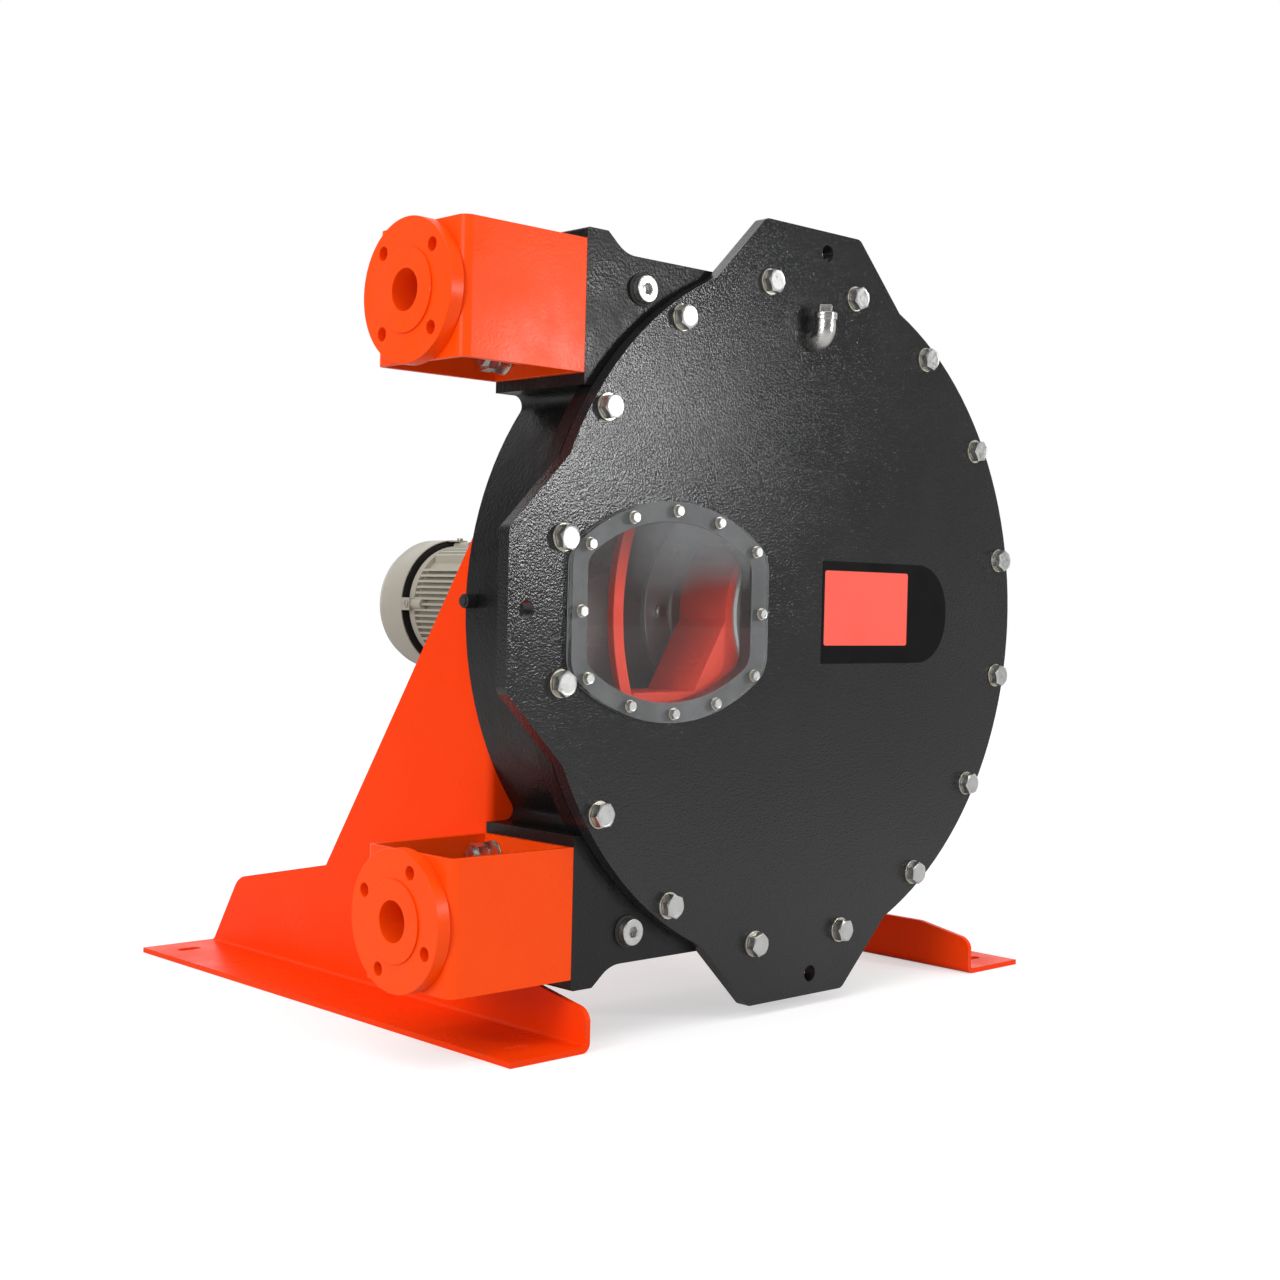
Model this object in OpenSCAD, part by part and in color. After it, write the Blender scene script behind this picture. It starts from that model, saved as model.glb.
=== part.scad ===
// Peristaltic hose pump with a hose of 65 mm bore and a coaxial gearmotor.
// The pump frame has its origin on the pump axis in the cover's front face,
// with X to the right, Y to the back and Z up. at_pump() moves it onto the floor.

/* [Support frame] */
// Height of the pump axis above the floor
axis_h = 577; // [570:1:640]
// Length of each foot, front to back
foot_len = 940; // [900:1:1000]
// Outside width over both feet
foot_span = 1090; // [1040:1:1160]
// Outside width over both webs
web_span = 838; // [820:1:880]
// Thickness of the bent plates
frame_t = 8; // [6:0.5:10]
// How far the feet reach in front of the cover
foot_lead = 7; // [0:1:20]
// Width of the upright flange that carries the pump head
post_w = 84; // [70:1:100]
// Height of the upright's top above the pump axis
post_top = 166; // [120:1:200]
// Height of the low nose below the port
nose_h = 73; // [50:1:74]
// Width of the foot slots
slot_w = 18; // [14:1:22]
// Length of the foot slots, end to end
slot_len = 40; // [30:1:60]
// Distance of the slots from the ends of the foot
slot_inset = 54; // [40:1:80]

/* [Cover] */
// Thickness of the cover plate
cover_t = 20; // [16:0.5:24]
// Diameter of the cover plate
cover_d = 1008; // [1004:1:1020]
// Distance of the bolts from the cover's edge
bolt_edge = 24; // [22:0.5:26]
// Number of cover bolts
bolt_n = 16; // [12:2:20]
// Shank diameter of the cover bolts
bolt_d = 20; // [16:1:20]
// How far the lifting lobes stand out past the round plate
lobe_rise = 56; // [46:1:62]
// Flat width of the lifting lobes
lobe_w = 206; // [180:1:220]
// Diameter of the lifting holes
lift_d = 24; // [18:1:28]
// Thickness of the cover gasket
gasket_t = 1.6; // [1:0.1:3]

/* [Window] */
// Distance of the window from the cover's edge
window_edge = 42.5; // [40:0.5:48]
// Outside width of the window
window_w = 371; // [360:1:372]
// Radius of the window's long edges
window_r = 284; // [280:1:286]
// Thickness of the window pane
pane_t = 8; // [6:0.5:12]
// Thickness of the window gasket
seat_t = 2; // [1:0.5:4]
// Width of the border under the gasket
border = 30; // [28:0.5:32]
// Thread of the window screws
screw_d = 8; // [6:1:8]

/* [Housing] */
// Width of the land between the chamber and the cover's edge
chamber_land = 52; // [50:0.5:54]
// Wall of the drum
drum_wall = 14; // [12:1:16]
// Depth of the housing, front to back
housing_depth = 183; // [182:1:190]
// Thickness of the back wall
back_wall = 19.6; // [18:0.2:22]
// Thickness of the front flange
rim_t = 25; // [22:1:32]
// Distance of the port faces in from the cover's edge
port_inset = 82.5; // [76:0.5:88]
// Height of the port blocks
port_h = 205; // [200:1:210]
// Thickness of the port blocks
port_t = 37; // [34:1:42]

/* [Hose] */
// Bore of the hose
hose_bore = 65; // [60:1:66]
// Wall of the hose
hose_wall = 20; // [18:0.5:20]
// Squeezed wall as a share of the free wall
squeeze = 0.96; // [0.94:0.01:0.99]

/* [Ports] */
// Distance from the port faces out to the flange faces
port_len = 224.1; // [218:0.1:238]
// Outside diameter of the flanges
flange_d = 185; // [180:1:190]
// Thickness of the flanges
flange_t = 20; // [16:1:24]
// Bolt circle of the flanges
flange_pcd = 145; // [140:1:148]
// Diameter of the flange bolt holes
flange_hole = 18; // [14:1:20]
// Diameter of the raised faces
raised_d = 108; // [100:1:116]
// Thickness of the raised faces
raised_t = 3; // [2:0.5:4]
// Bore of the hose inserts
insert_bore = 54; // [48:1:56]
// Height of the brackets
bracket_h = 175; // [170:1:180]
// Plate thickness of the brackets
bracket_t = 8; // [6:0.5:10]

/* [Rotor] */
// Angle of the lower shoe, counted from +X towards +Z
rotor_angle = 240; // [236:1:246]
// Radius of the hub
hub_r = 140; // [132:1:144]
// Radial thickness of the rim
rim_wall = 18; // [14:1:20]
// Step from the hose's middle line in to the rim
rim_step = 42; // [40:1:48]
// Width of the rim, front to back
rim_w = 12; // [10:1:36]
// Thickness of the hub and its arms
arm_t = 93; // [85:1:96]
// Thickness of the arm walls
arm_wall = 27; // [22:1:30]
// Radius of the shoe's working face
shoe_curve = 200; // [190:1:210]
// Thickness of the shoe at its middle
shoe_t = 60; // [56:1:62]
// Width of the shoes
shoe_w = 110; // [100:1:112]
// Thickness of the shims under the shoes
shim_t = 3; // [1:0.5:5]
// Diameter of the shaft in the hub
shaft_d = 85; // [80:1:88]
// Diameter of the shaft in its bearings
journal_d = 90; // [89:1:96]

/* [Gearmotor] */
// Outside diameter of the gearbox flange
gear_flange_d = 350; // [346:1:360]
// Length of the gearbox
gear_len = 352; // [340:1:370]
// Outside diameter over the motor's fins
motor_d = 212; // [206:1:214]
// Length of the finned motor frame
motor_len = 222; // [210:1:230]
// Distance between two fins
fin_pitch = 10; // [9:0.5:12]
// Thickness of a fin
fin_t = 4; // [3:0.5:5]
// Outside diameter of the fan cowl
cowl_d = 230; // [218:1:236]
// Length of the fan cowl
cowl_len = 80; // [76:1:90]
// Diameter of the motor shaft
motor_shaft_d = 28; // [24:1:32]

/* [Hidden] */
$fn = 96;

ORANGE = [0.93, 0.27, 0.06];
BLACK = [0.09, 0.09, 0.10];
ZINC = [0.78, 0.77, 0.73];
STEEL = [0.62, 0.63, 0.65];
GREY = [0.66, 0.64, 0.58];
RUBBER = [0.12, 0.12, 0.12];

// Planes along the pump axis
front_y = -(foot_len / 2 - foot_lead);
house_y = cover_t + gasket_t;
back_y = house_y + housing_depth;
floor_y = back_y - back_wall;
hose_y = house_y + housing_depth / 2;
lap = 0.1;
play = 0.05;
thread_gap = 0.2;

// Cover and chamber
bolt_pcd = cover_d - 2 * bolt_edge;
lobe_reach = cover_d / 2 + lobe_rise;
window_x = cover_d / 2 - window_edge - window_w / 2;
chamber_r = cover_d / 2 - chamber_land;

// Hose line
hose_od = hose_bore + 2 * hose_wall;
hose_gap = 1.5;
hose_back_r = chamber_r - hose_gap;
hose_r = hose_back_r - hose_od / 2;
shoe_gap = 0.5;
shoe_tip = hose_back_r - 2 * hose_wall * squeeze - shoe_gap;
shoe_off = shoe_tip - shoe_curve;
shoe_seat = shoe_tip - shoe_t;
rim_seat = shoe_seat - shim_t;
shoe_half = 132;
shoe_angles = [rotor_angle, rotor_angle - 180];

// Brackets and flanges on the ports
port_x = cover_d / 2 - port_inset;
port_reach = port_x + port_len;
flange_back = port_reach - raised_t - flange_t;
drum_r = chamber_r + drum_wall;
port_bolt_y = 64;
port_bolt_z = 62;
port_bolt_d = 20;
port_nut = 16;
nut_disc = 1.5;
stud_end = 5.5;

// Rotor planes
rotor_y = house_y + 8.4;
arm_back = rotor_y + arm_t;
rim_back = rotor_y + rim_w;
rim_r = hose_r - rim_step;
seat_back = floor_y - 17;
boss_back = floor_y - 17;
boss_r = 95;
carrier_r = 160;
carrier_front = floor_y - 10;
carrier_pcd = 262;
seal_od = 120;

// Gearbox and motor planes
gear_pcd = gear_flange_d - 34;
casing_r = gear_flange_d / 2 - 25;
tie_r = casing_r - 12;
bearing_od = 160;
bearing_w = 30;
bearing_a = back_y + 10;
bearing_b = back_y + 84;
casing_a = back_y + 150;
casing_b = casing_a + 92;
adapter_end = back_y + gear_len;
motor_a = adapter_end + 34;
motor_b = motor_a + motor_len;
shield_t = 14;
cowl_gap = 9;
cowl_a = motor_b + shield_t + cowl_gap;
cowl_b = cowl_a + cowl_len;
motor_flange_d = 250;
motor_pcd = 215;
motor_neck = 92;
core_r = 56;
core_len = 140;

// Vector helpers
function unit(v) = v / norm(v);
function turn_of(v) = atan2(v[1], v[0]);
function short_turn(a) = a > 180 ? a - 360 : a < -180 ? a + 360 : a;

function arc_point(c, r, a) = c + r * [cos(a), sin(a)];
function arc(c, r, from, to, n) = [for (i = [0 : n]) arc_point(c, r, from + (to - from) * i / n)];

// Points of one rounded corner b between its neighbours a and c
function corner(a, b, c, r, n = 8) =
    let(
        u = unit(a - b),
        v = unit(c - b),
        half = acos(u * v) / 2,
        mid = b + unit(u + v) * r / sin(half),
        p = b + u * r / tan(half),
        q = b + v * r / tan(half),
        t0 = turn_of(p - mid),
        sweep = short_turn(turn_of(q - mid) - t0)
    )
    arc(mid, r, t0, t0 + sweep, n);

// Outline with a radius at each corner, 0 for a sharp one
function rounded(pts, radii) =
    let(n = len(pts))
    [
        for (i = [0 : n - 1])
            each radii[i] > 0
                ? corner(pts[(i + n - 1) % n], pts[i], pts[(i + 1) % n], radii[i])
                : [pts[i]]
    ];

// Placing helpers in the pump frame
module at_pump() { translate([0, front_y, axis_h]) children(); }

module slab(y0, y1) {
    translate([0, y1, 0]) rotate([90, 0, 0]) linear_extrude(height = y1 - y0) children();
}

module turned() { rotate([-90, 0, 0]) rotate_extrude() children(); }

module rod(y0, y1, r) {
    translate([0, y0, 0]) rotate([-90, 0, 0]) cylinder(r = r, h = y1 - y0);
}

module cross_rod(x0, x1, r) {
    translate([x0, 0, 0]) rotate([0, 90, 0]) cylinder(r = r, h = x1 - x0);
}

module ring_of(n, r, a0 = 0) {
    for (i = [0 : n - 1]) {
        translate([r * cos(a0 + i * 360 / n), 0, r * sin(a0 + i * 360 / n)]) children();
    }
}

module both_ports() {
    children();
    mirror([0, 0, 1]) children();
}

module both_sides() {
    children();
    mirror([1, 0, 0]) children();
}

// Fasteners: the head is below z = 0 and the shank above it
module hex_bolt(d, af, head, length) {
    cylinder(d = d, h = length);
    translate([0, 0, -head]) cylinder(d = af / cos(30), h = head, $fn = 6);
}

module washer(d_out, d_in, t) {
    difference() {
        cylinder(d = d_out, h = t);
        translate([0, 0, -1]) cylinder(d = d_in, h = t + 2);
    }
}

// Support frame
foot_front = -foot_lead;
foot_back = foot_len - foot_lead;
web_x = web_span / 2;
post_rows = [110, -60, -230];
post_bolt_d = 16;
post_x = web_x - frame_t - post_w / 2 + 2;
block_low = hose_r + port_h / 2;
nose_z = min(nose_h - axis_h, -block_low - 2.5);
bend_r = 5;

// Side view of a frame: the foot, the low nose in front and the slanted web behind
module side_outline() {
    floor_z = -axis_h;
    foot_top = floor_z + frame_t;
    nose_room = nose_z - foot_top;
    toe_r = 0.2 * nose_room;
    kink = nose_z + 100;
    tail = nose_z + 49;
    polygon(rounded(
        [
            [foot_front, floor_z],
            [foot_front, foot_top],
            [foot_front - 5, foot_top + nose_room / 3],
            [foot_front + 5, nose_z - nose_room / 4],
            [foot_front + 98, nose_z],
            [back_y, nose_z],
            [back_y, post_top],
            [foot_back - 334, kink],
            [foot_back - 80, tail],
            [foot_back - 6, foot_top],
            [foot_back, foot_top],
            [foot_back, floor_z]
        ],
        [0, 0, toe_r, 1.7 * toe_r, 0, 0, 0, 0, 45, 0, 0, 0]
    ));
}

// Cross-section of a bend: legs w and h of a plate, corner at the origin
module bent(w, h) {
    t = frame_t;
    polygon(rounded([[0, h], [0, 0], [w, 0], [w, t], [t, t], [t, h]], [0, t + bend_r, 0, 0, bend_r, 0]));
}

module frame_plate() {
    z = -axis_h;
    height = axis_h + post_top;
    bend = frame_t + bend_r;
    difference() {
        intersection() {
            translate([-foot_span / 2, 0, 0]) rotate([90, 0, 90])
                linear_extrude(height = foot_span / 2) side_outline();
            union() {
                difference() {
                    translate([-web_x + frame_t, foot_back, z]) mirror([1, 0, 0]) rotate([90, 0, 0])
                        linear_extrude(height = foot_len) bent(foot_span / 2 - web_x + frame_t, height);
                    translate([-web_x - 1, back_y - 1, nose_z])
                        cube([frame_t + 2, bend + 1, height]);
                }
                translate([-web_x, back_y, nose_z + frame_t])
                    linear_extrude(height = post_top - nose_z - frame_t)
                        bent(post_w + frame_t, bend + 40);
            }
        }
        for (y = [foot_front + slot_inset, foot_back - slot_inset]) {
            translate([-(foot_span / 2 + web_x) / 2 - 10, y, z - 1]) foot_slot();
        }
        for (h = post_rows) {
            translate([-post_x, 0, h]) rod(back_y - 1, back_y + frame_t + 1, post_bolt_d / 2 + 0.5);
        }
    }
}

module foot_slot() {
    run = (slot_len - slot_w) / 2;
    for (s = [-run, run]) translate([s, 0, 0]) cylinder(d = slot_w, h = frame_t + 2);
    translate([-run, -slot_w / 2, 0]) cube([2 * run, slot_w, frame_t + 2]);
}

module left_frame() { color(ORANGE) at_pump() frame_plate(); }

module right_frame() { color(ORANGE) at_pump() mirror([1, 0, 0]) frame_plate(); }

module post_places() {
    both_sides() for (h = post_rows) translate([-post_x, back_y + frame_t, h]) children();
}

module frame_bolts() {
    color(ZINC) at_pump() post_places() translate([0, 3, 0]) rotate([90, 0, 0])
        hex_bolt(post_bolt_d, 24, 10, frame_t + 3 + 12);
}

module frame_washers() {
    color(ZINC) at_pump() post_places() rotate([-90, 0, 0]) washer(30, 17, 3);
}

// Pump housing: a cast drum with two port arms, open at the front
arm_top = drum_r + 8;
channel_top = chamber_r + 1;
channel_low = hose_r - hose_od / 2 - 6;
channel_x = port_x - port_t - 12;
channel_y = house_y + 22;
tap_depth = 20;
port_fillet = 14;

module port_outline() {
    low = hose_r - port_h / 2;
    high = hose_r + port_h / 2;
    polygon(rounded(
        [
            [-port_x, low],
            [-port_x, high],
            [-port_x + port_t, high],
            [-port_x + port_t + 32, arm_top],
            [-60, arm_top],
            [0, drum_r - 1],
            [0, low]
        ],
        [0, 4, 4, 50, 0, 0, 0]
    ));
    z = low - port_fillet;
    x = -sqrt(pow(drum_r + port_fillet, 2) - z * z);
    touch = [x, z] * drum_r / (drum_r + port_fillet);
    difference() {
        polygon([[x, low + 1], touch, touch * 0.97, [x + 40, low + 1]]);
        translate([x, z]) circle(r = port_fillet);
    }
}

module pump_housing() {
    color(BLACK) at_pump() difference() {
        union() {
            rod(house_y, back_y, drum_r);
            rod(house_y, house_y + rim_t, cover_d / 2);
            both_ports() slab(house_y, back_y) port_outline();
        }
        rod(house_y - 1, floor_y, chamber_r);
        rod(floor_y - 1, back_y + 1, seal_od / 2 + 40);
        both_ports() {
            translate([-channel_x, channel_y, channel_low])
                cube([channel_x, floor_y - channel_y, channel_top - channel_low]);
            translate([0, hose_y, hose_r]) cross_rod(-port_x - 1, -channel_x + 1, hose_od / 2 + 2.5);
            port_bolt_places() cross_rod(-port_x - 1, -port_x + 28, port_bolt_d / 2 + thread_gap);
            translate([-plug_x, 0, plug_z]) rod(house_y - 1, channel_y + 1, plug_d / 2 + thread_gap);
        }
        ring_of(bolt_n, bolt_pcd / 2, 180 / bolt_n)
            rod(house_y - 1, house_y + tap_depth, bolt_d / 2 + thread_gap);
        ring_of(8, carrier_pcd / 2) rod(floor_y - 1, floor_y + 14, 6 + thread_gap);
        ring_of(8, gear_pcd / 2, 22.5) rod(back_y - 14, back_y + 1, 8 + thread_gap);
        both_sides() for (h = post_rows) {
            translate([-post_x, 0, h]) rod(back_y - 14, back_y + 1, post_bolt_d / 2 + thread_gap);
        }
        translate([0, side_plug_y, side_plug_z])
            cross_rod(-drum_r - 2, -drum_r + 9, side_plug_d / 2 - 3 + thread_gap);
    }
}

// Cover plate with three lifting lobes
module lobe_outline() {
    half = lobe_w / 2;
    meet = sqrt(max(0, cover_d * cover_d / 2 - pow(half + lobe_reach, 2)));
    drop = (lobe_reach - half - meet) / 2 + 2;
    polygon(rounded(
        [
            [0, 0],
            [-half - drop, lobe_reach - drop],
            [-half, lobe_reach],
            [half, lobe_reach],
            [half + drop, lobe_reach - drop]
        ],
        [0, 0, 15, 15, 0]
    ));
}

// Outline with straight sides, long round edges above and below and rounded corners
module barrel(half, r, fillet) {
    off = window_r - window_h / 2;
    corner_x = half - fillet;
    corner_z = sqrt(pow(r - fillet, 2) - corner_x * corner_x) - off;
    lean = atan2(corner_z + off, corner_x);
    upper = concat(
        arc([corner_x, corner_z], fillet, 0, lean, 8),
        [for (i = [1 : 23]) arc_point([0, -off], r, lean + (180 - 2 * lean) * i / 24)],
        arc([-corner_x, corner_z], fillet, 180 - lean, 180, 8)
    );
    polygon(concat(upper, -upper));
}

window_h = 299;
screw_line = border / 2 - 2.5;
elbow_z = hose_r;
elbow_thread = 18;
lift_r = lobe_reach - 31;
lift_places = [[30, lift_r], [-lift_r, 0], [30, -lift_r]];

module window_opening() {
    translate([-window_x, 0]) barrel(window_w / 2 - border, window_r - border + 3, 30);
}

module window_outline() { translate([-window_x, 0]) barrel(window_w / 2, window_r, 45); }

module window_places() {
    r = window_r - screw_line;
    off = window_r - window_h / 2;
    xs = [0, 81, 157];
    translate([-window_x, 0, 0]) {
        for (s = [-1, 1]) {
            translate([s * (window_w / 2 - border / 2 - 0.5), 0, 0]) children();
            for (x = xs) {
                for (m = x == 0 ? [1] : [-1, 1]) {
                    translate([m * x, 0, s * (sqrt(r * r - x * x) - off)]) children();
                }
            }
        }
    }
}

module front_cover() {
    color(BLACK) at_pump() difference() {
        union() {
            rod(0, cover_t, cover_d / 2);
            slab(0, cover_t) for (a = [0, 90, 180]) rotate(a) lobe_outline();
        }
        slab(-1, cover_t + 1) window_opening();
        ring_of(bolt_n, bolt_pcd / 2, 180 / bolt_n) rod(-1, cover_t + 1, bolt_d / 2 + 1);
        for (p = lift_places) translate([p[0], 0, p[1]]) rod(-1, cover_t + 1, lift_d / 2);
        window_places() rod(-1, cover_t - 4, screw_d / 2 + thread_gap);
        translate([0, 0, elbow_z]) rod(-1, cover_t + 1, elbow_thread / 2 + thread_gap);
    }
}

module cover_gasket() {
    color(RUBBER) at_pump() difference() {
        rod(cover_t, house_y, cover_d / 2 - 4);
        rod(cover_t - 1, house_y + 1, chamber_r);
        ring_of(bolt_n, bolt_pcd / 2, 180 / bolt_n) rod(cover_t - 1, house_y + 1, bolt_d / 2 + 1);
    }
}

cover_washer_t = 3;

module cover_bolts() {
    color(ZINC) at_pump() ring_of(bolt_n, bolt_pcd / 2, 180 / bolt_n)
        translate([0, -cover_washer_t, 0]) rotate([-90, 0, 0])
            hex_bolt(bolt_d, 1.5 * bolt_d, 0.65 * bolt_d, cover_washer_t + house_y + tap_depth - 1);
}

module cover_washers() {
    color(ZINC) at_pump() ring_of(bolt_n, bolt_pcd / 2, 180 / bolt_n)
        translate([0, -cover_washer_t, 0]) rotate([-90, 0, 0])
            washer(bolt_d + 17, bolt_d + 1, cover_washer_t);
}

module window_pane() {
    color([0.75, 0.80, 0.82, 0.45]) at_pump() difference() {
        slab(-seat_t - pane_t, -seat_t) window_outline();
        window_places() rod(-seat_t - pane_t - 1, 0, screw_d / 2 + 0.5);
    }
}

module window_gasket() {
    color([0.45, 0.46, 0.47]) at_pump() difference() {
        slab(-seat_t, 0) difference() {
            window_outline();
            window_opening();
        }
        window_places() rod(-seat_t - 1, 1, screw_d / 2 + 0.5);
    }
}

module window_screws() {
    color(ZINC) at_pump() window_places() translate([0, -seat_t - pane_t - 1.6, 0])
        rotate([-90, 0, 0])
            hex_bolt(screw_d, 13, 5.5, seat_t + pane_t + 1.6 + cover_t - 6);
}

module window_washers() {
    color(ZINC) at_pump() window_places() translate([0, -seat_t - pane_t - 1.6, 0])
        rotate([-90, 0, 0]) washer(17, screw_d + 0.6, 1.6);
}

// Vent on the cover: a threaded elbow that turns up, and its square plug
elbow_d = 30;
elbow_bend = 16;
elbow_out = 24.5;
elbow_up = 33;
plug_square = 17.6;

module vent_elbow() {
    color(ZINC) at_pump() translate([0, 0, elbow_z]) {
        rod(0, cover_t - 1, elbow_thread / 2);
        rod(-4, 0, elbow_d / 2 - 1);
        rod(elbow_bend - elbow_out, -4, elbow_d / 2);
        translate([0, elbow_bend - elbow_out, elbow_bend]) rotate([0, 90, 180])
            rotate_extrude(angle = 90) translate([elbow_bend, 0]) circle(d = elbow_d);
        translate([0, -elbow_out, elbow_bend]) cylinder(d = elbow_d, h = elbow_up - elbow_bend);
        translate([0, -elbow_out, elbow_up - 5]) cylinder(d = elbow_d + 4, h = 5);
    }
}

module vent_plug() {
    color(ZINC) at_pump() translate([0, -elbow_out, elbow_z + elbow_up]) {
        cylinder(d = elbow_d + 4, h = 5);
        rotate(45) translate([-plug_square / 2, -plug_square / 2, 4])
            cube([plug_square, plug_square, 12]);
    }
}

// Ports: plugs, brackets, flanges and inserts
plug_reach = cover_d / 2 + 34.6;
plug_angle = 53.15;
plug_x = plug_reach * cos(plug_angle);
plug_z = plug_reach * sin(plug_angle);
plug_d = 26;

module port_plugs() {
    color(ZINC) at_pump() both_ports() translate([-plug_x, 0, plug_z]) difference() {
        union() {
            rod(house_y, channel_y - 2, plug_d / 2);
            rod(house_y - 14, house_y, 18);
        }
        translate([0, house_y - 15, 0]) rotate([-90, 0, 0]) cylinder(d = 14 / cos(30), h = 9, $fn = 6);
    }
}

module plug_seals() {
    color(RUBBER) at_pump() both_ports() translate([-plug_x, house_y - 3, plug_z])
        rotate([-90, 0, 0]) washer(44, 36.4, 3);
}

module port_bolt_places() {
    for (y = [-1, 1]) {
        for (z = [-1, 1]) translate([0, hose_y + y * port_bolt_y, hose_r + z * port_bolt_z]) children();
    }
}

module bracket_outline() {
    x0 = -flange_back;
    x1 = -port_x;
    outer = [[x0, house_y], [x0, back_y], [x1, back_y], [x1, house_y]];
    inner = [
        [x0 + bracket_t, house_y + bracket_t],
        [x0 + bracket_t, back_y - bracket_t],
        [x1 - bracket_t, back_y - bracket_t],
        [x1 - bracket_t, house_y + bracket_t]
    ];
    difference() {
        polygon(rounded(outer, [14, 14, 0, 0]));
        polygon(rounded(inner, [6, 6, 0, 0]));
    }
}

module bracket() {
    difference() {
        translate([0, 0, hose_r - bracket_h / 2]) linear_extrude(height = bracket_h) bracket_outline();
        translate([0, hose_y, hose_r]) {
            cross_rod(-flange_back - 1, -flange_back + bracket_t + 1, hose_bore / 2 + 1);
            cross_rod(-port_x - bracket_t - 1, -port_x + 1, hose_od / 2 + 2.5);
        }
        port_bolt_places() cross_rod(-port_x - bracket_t - 1, -port_x + 1, port_bolt_d / 2 + 1);
    }
}

module upper_bracket() { color(ORANGE) at_pump() bracket(); }

module lower_bracket() { color(ORANGE) at_pump() mirror([0, 0, 1]) bracket(); }

// Studs, each with two nuts and a disc between them
module bracket_bolts() {
    stack = 2 * port_nut + nut_disc + stud_end;
    color(ZINC) at_pump() both_ports() port_bolt_places()
        translate([-port_x - bracket_t - 3, 0, 0]) rotate([0, 90, 0]) {
            translate([0, 0, -stack]) cylinder(d = port_bolt_d, h = stack + bracket_t + 3 + 26);
            translate([0, 0, -port_nut - nut_disc - 0.5])
                cylinder(d = 1.45 * port_bolt_d, h = nut_disc + 1);
            for (k = [0, 1]) translate([0, 0, -port_nut - k * (port_nut + nut_disc)]) rotate(20 * k)
                cylinder(d = 1.5 * port_bolt_d / cos(30), h = port_nut, $fn = 6);
        }
}

module bracket_washers() {
    color(ZINC) at_pump() both_ports() port_bolt_places()
        translate([-port_x - bracket_t - 3, 0, 0]) rotate([0, 90, 0])
            washer(port_bolt_d + 17, port_bolt_d + 1, 3);
}

module port_flange(turn) {
    translate([-flange_back - flange_t, hose_y, hose_r]) rotate([0, 90, 0]) difference() {
        cylinder(d = flange_d, h = flange_t);
        translate([0, 0, -1]) cylinder(d = hose_bore + 0.4, h = flange_t + 2);
        for (i = [0 : 3]) {
            rotate(turn + 90 * i) translate([flange_pcd / 2, 0, -1])
                cylinder(d = flange_hole, h = flange_t + 2);
        }
    }
}

module upper_flange() { color(ORANGE) at_pump() port_flange(45); }

module lower_flange() { color(ORANGE) at_pump() mirror([0, 0, 1]) port_flange(64); }

insert_len = 122;

module insert() {
    translate([-port_reach, hose_y, hose_r]) rotate([0, 90, 0]) difference() {
        union() {
            cylinder(d = raised_d, h = raised_t);
            cylinder(d = hose_bore, h = raised_t + insert_len);
        }
        translate([0, 0, -1]) cylinder(d = insert_bore, h = raised_t + insert_len + 2);
    }
}

module upper_insert() { color(ORANGE) at_pump() insert(); }

module lower_insert() { color(ORANGE) at_pump() mirror([0, 0, 1]) insert(); }

clamp_x = flange_back - bracket_t - 26;

module hose_clamps() {
    color(STEEL) at_pump() both_ports() translate([-clamp_x, hose_y, hose_r]) {
        difference() {
            union() {
                cross_rod(-10, 10, hose_od / 2 + 1.6);
                translate([-8, -17, -hose_od / 2 - 11]) cube([16, 34, 11]);
            }
            cross_rod(-11, 11, hose_od / 2 + 0.2);
        }
    }
}

// The hose: a U of constant outer line, flattened where a shoe reaches it
hose_sides = 16;
hose_end = flange_back - bracket_t - 2;
lumen_min = 0.4;

// Radius that a shoe's working face reaches at an angle from the shoe's middle
function shoe_reach(a) =
    let(s = shoe_off * sin(a))
    cos(a) > 0 && abs(s) < shoe_curve ? shoe_off * cos(a) + sqrt(pow(shoe_curve, 2) - s * s) : 0;

// Height that it reaches above the axis at a place x, side 1 at the top and -1 below
function shoe_height(x, side, a) =
    let(s = x - shoe_off * cos(a))
    abs(s) < shoe_curve ? side * shoe_off * sin(a) + sqrt(pow(shoe_curve, 2) - s * s) : 0;

function half_of(reach) = min(hose_od / 2, (hose_back_r - reach - shoe_gap) / 2);
function bend_half(t) = half_of(max([for (a = shoe_angles) shoe_reach(t - a)]));
function run_half(x, side) = half_of(max([for (a = shoe_angles) shoe_height(x, side, a)]));

// Each station is [x, angle of the outward direction, half thickness]
function run_station(x, side) = [x, 90 * side, run_half(x, side)];
function bend_station(t) = [0, t, bend_half(t)];

hose_stations = [
    for (x = [-hose_end, -40, -20]) run_station(x, 1),
    for (t = [90 : -3.5 : 20]) bend_station(t),
    for (t = [10 : -10 : -50]) bend_station(t),
    for (t = [-60 : -3.75 : -90]) bend_station(t),
    for (x = [-20 : -20 : -240]) run_station(x, -1),
    run_station(-hose_end, -1)
];

function hose_ring(s, half, wide) =
    let(mid = hose_back_r - s[2])
    [
        for (k = [0 : hose_sides - 1])
            let(
                f = 360 * k / hose_sides,
                r = mid + half * cos(f)
            )
            [s[0] + r * cos(s[1]), hose_y + wide * sin(f), r * sin(s[1])]
    ];

function wide_of(half) = sqrt(pow(hose_od, 2) / 2 - half * half);

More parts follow.
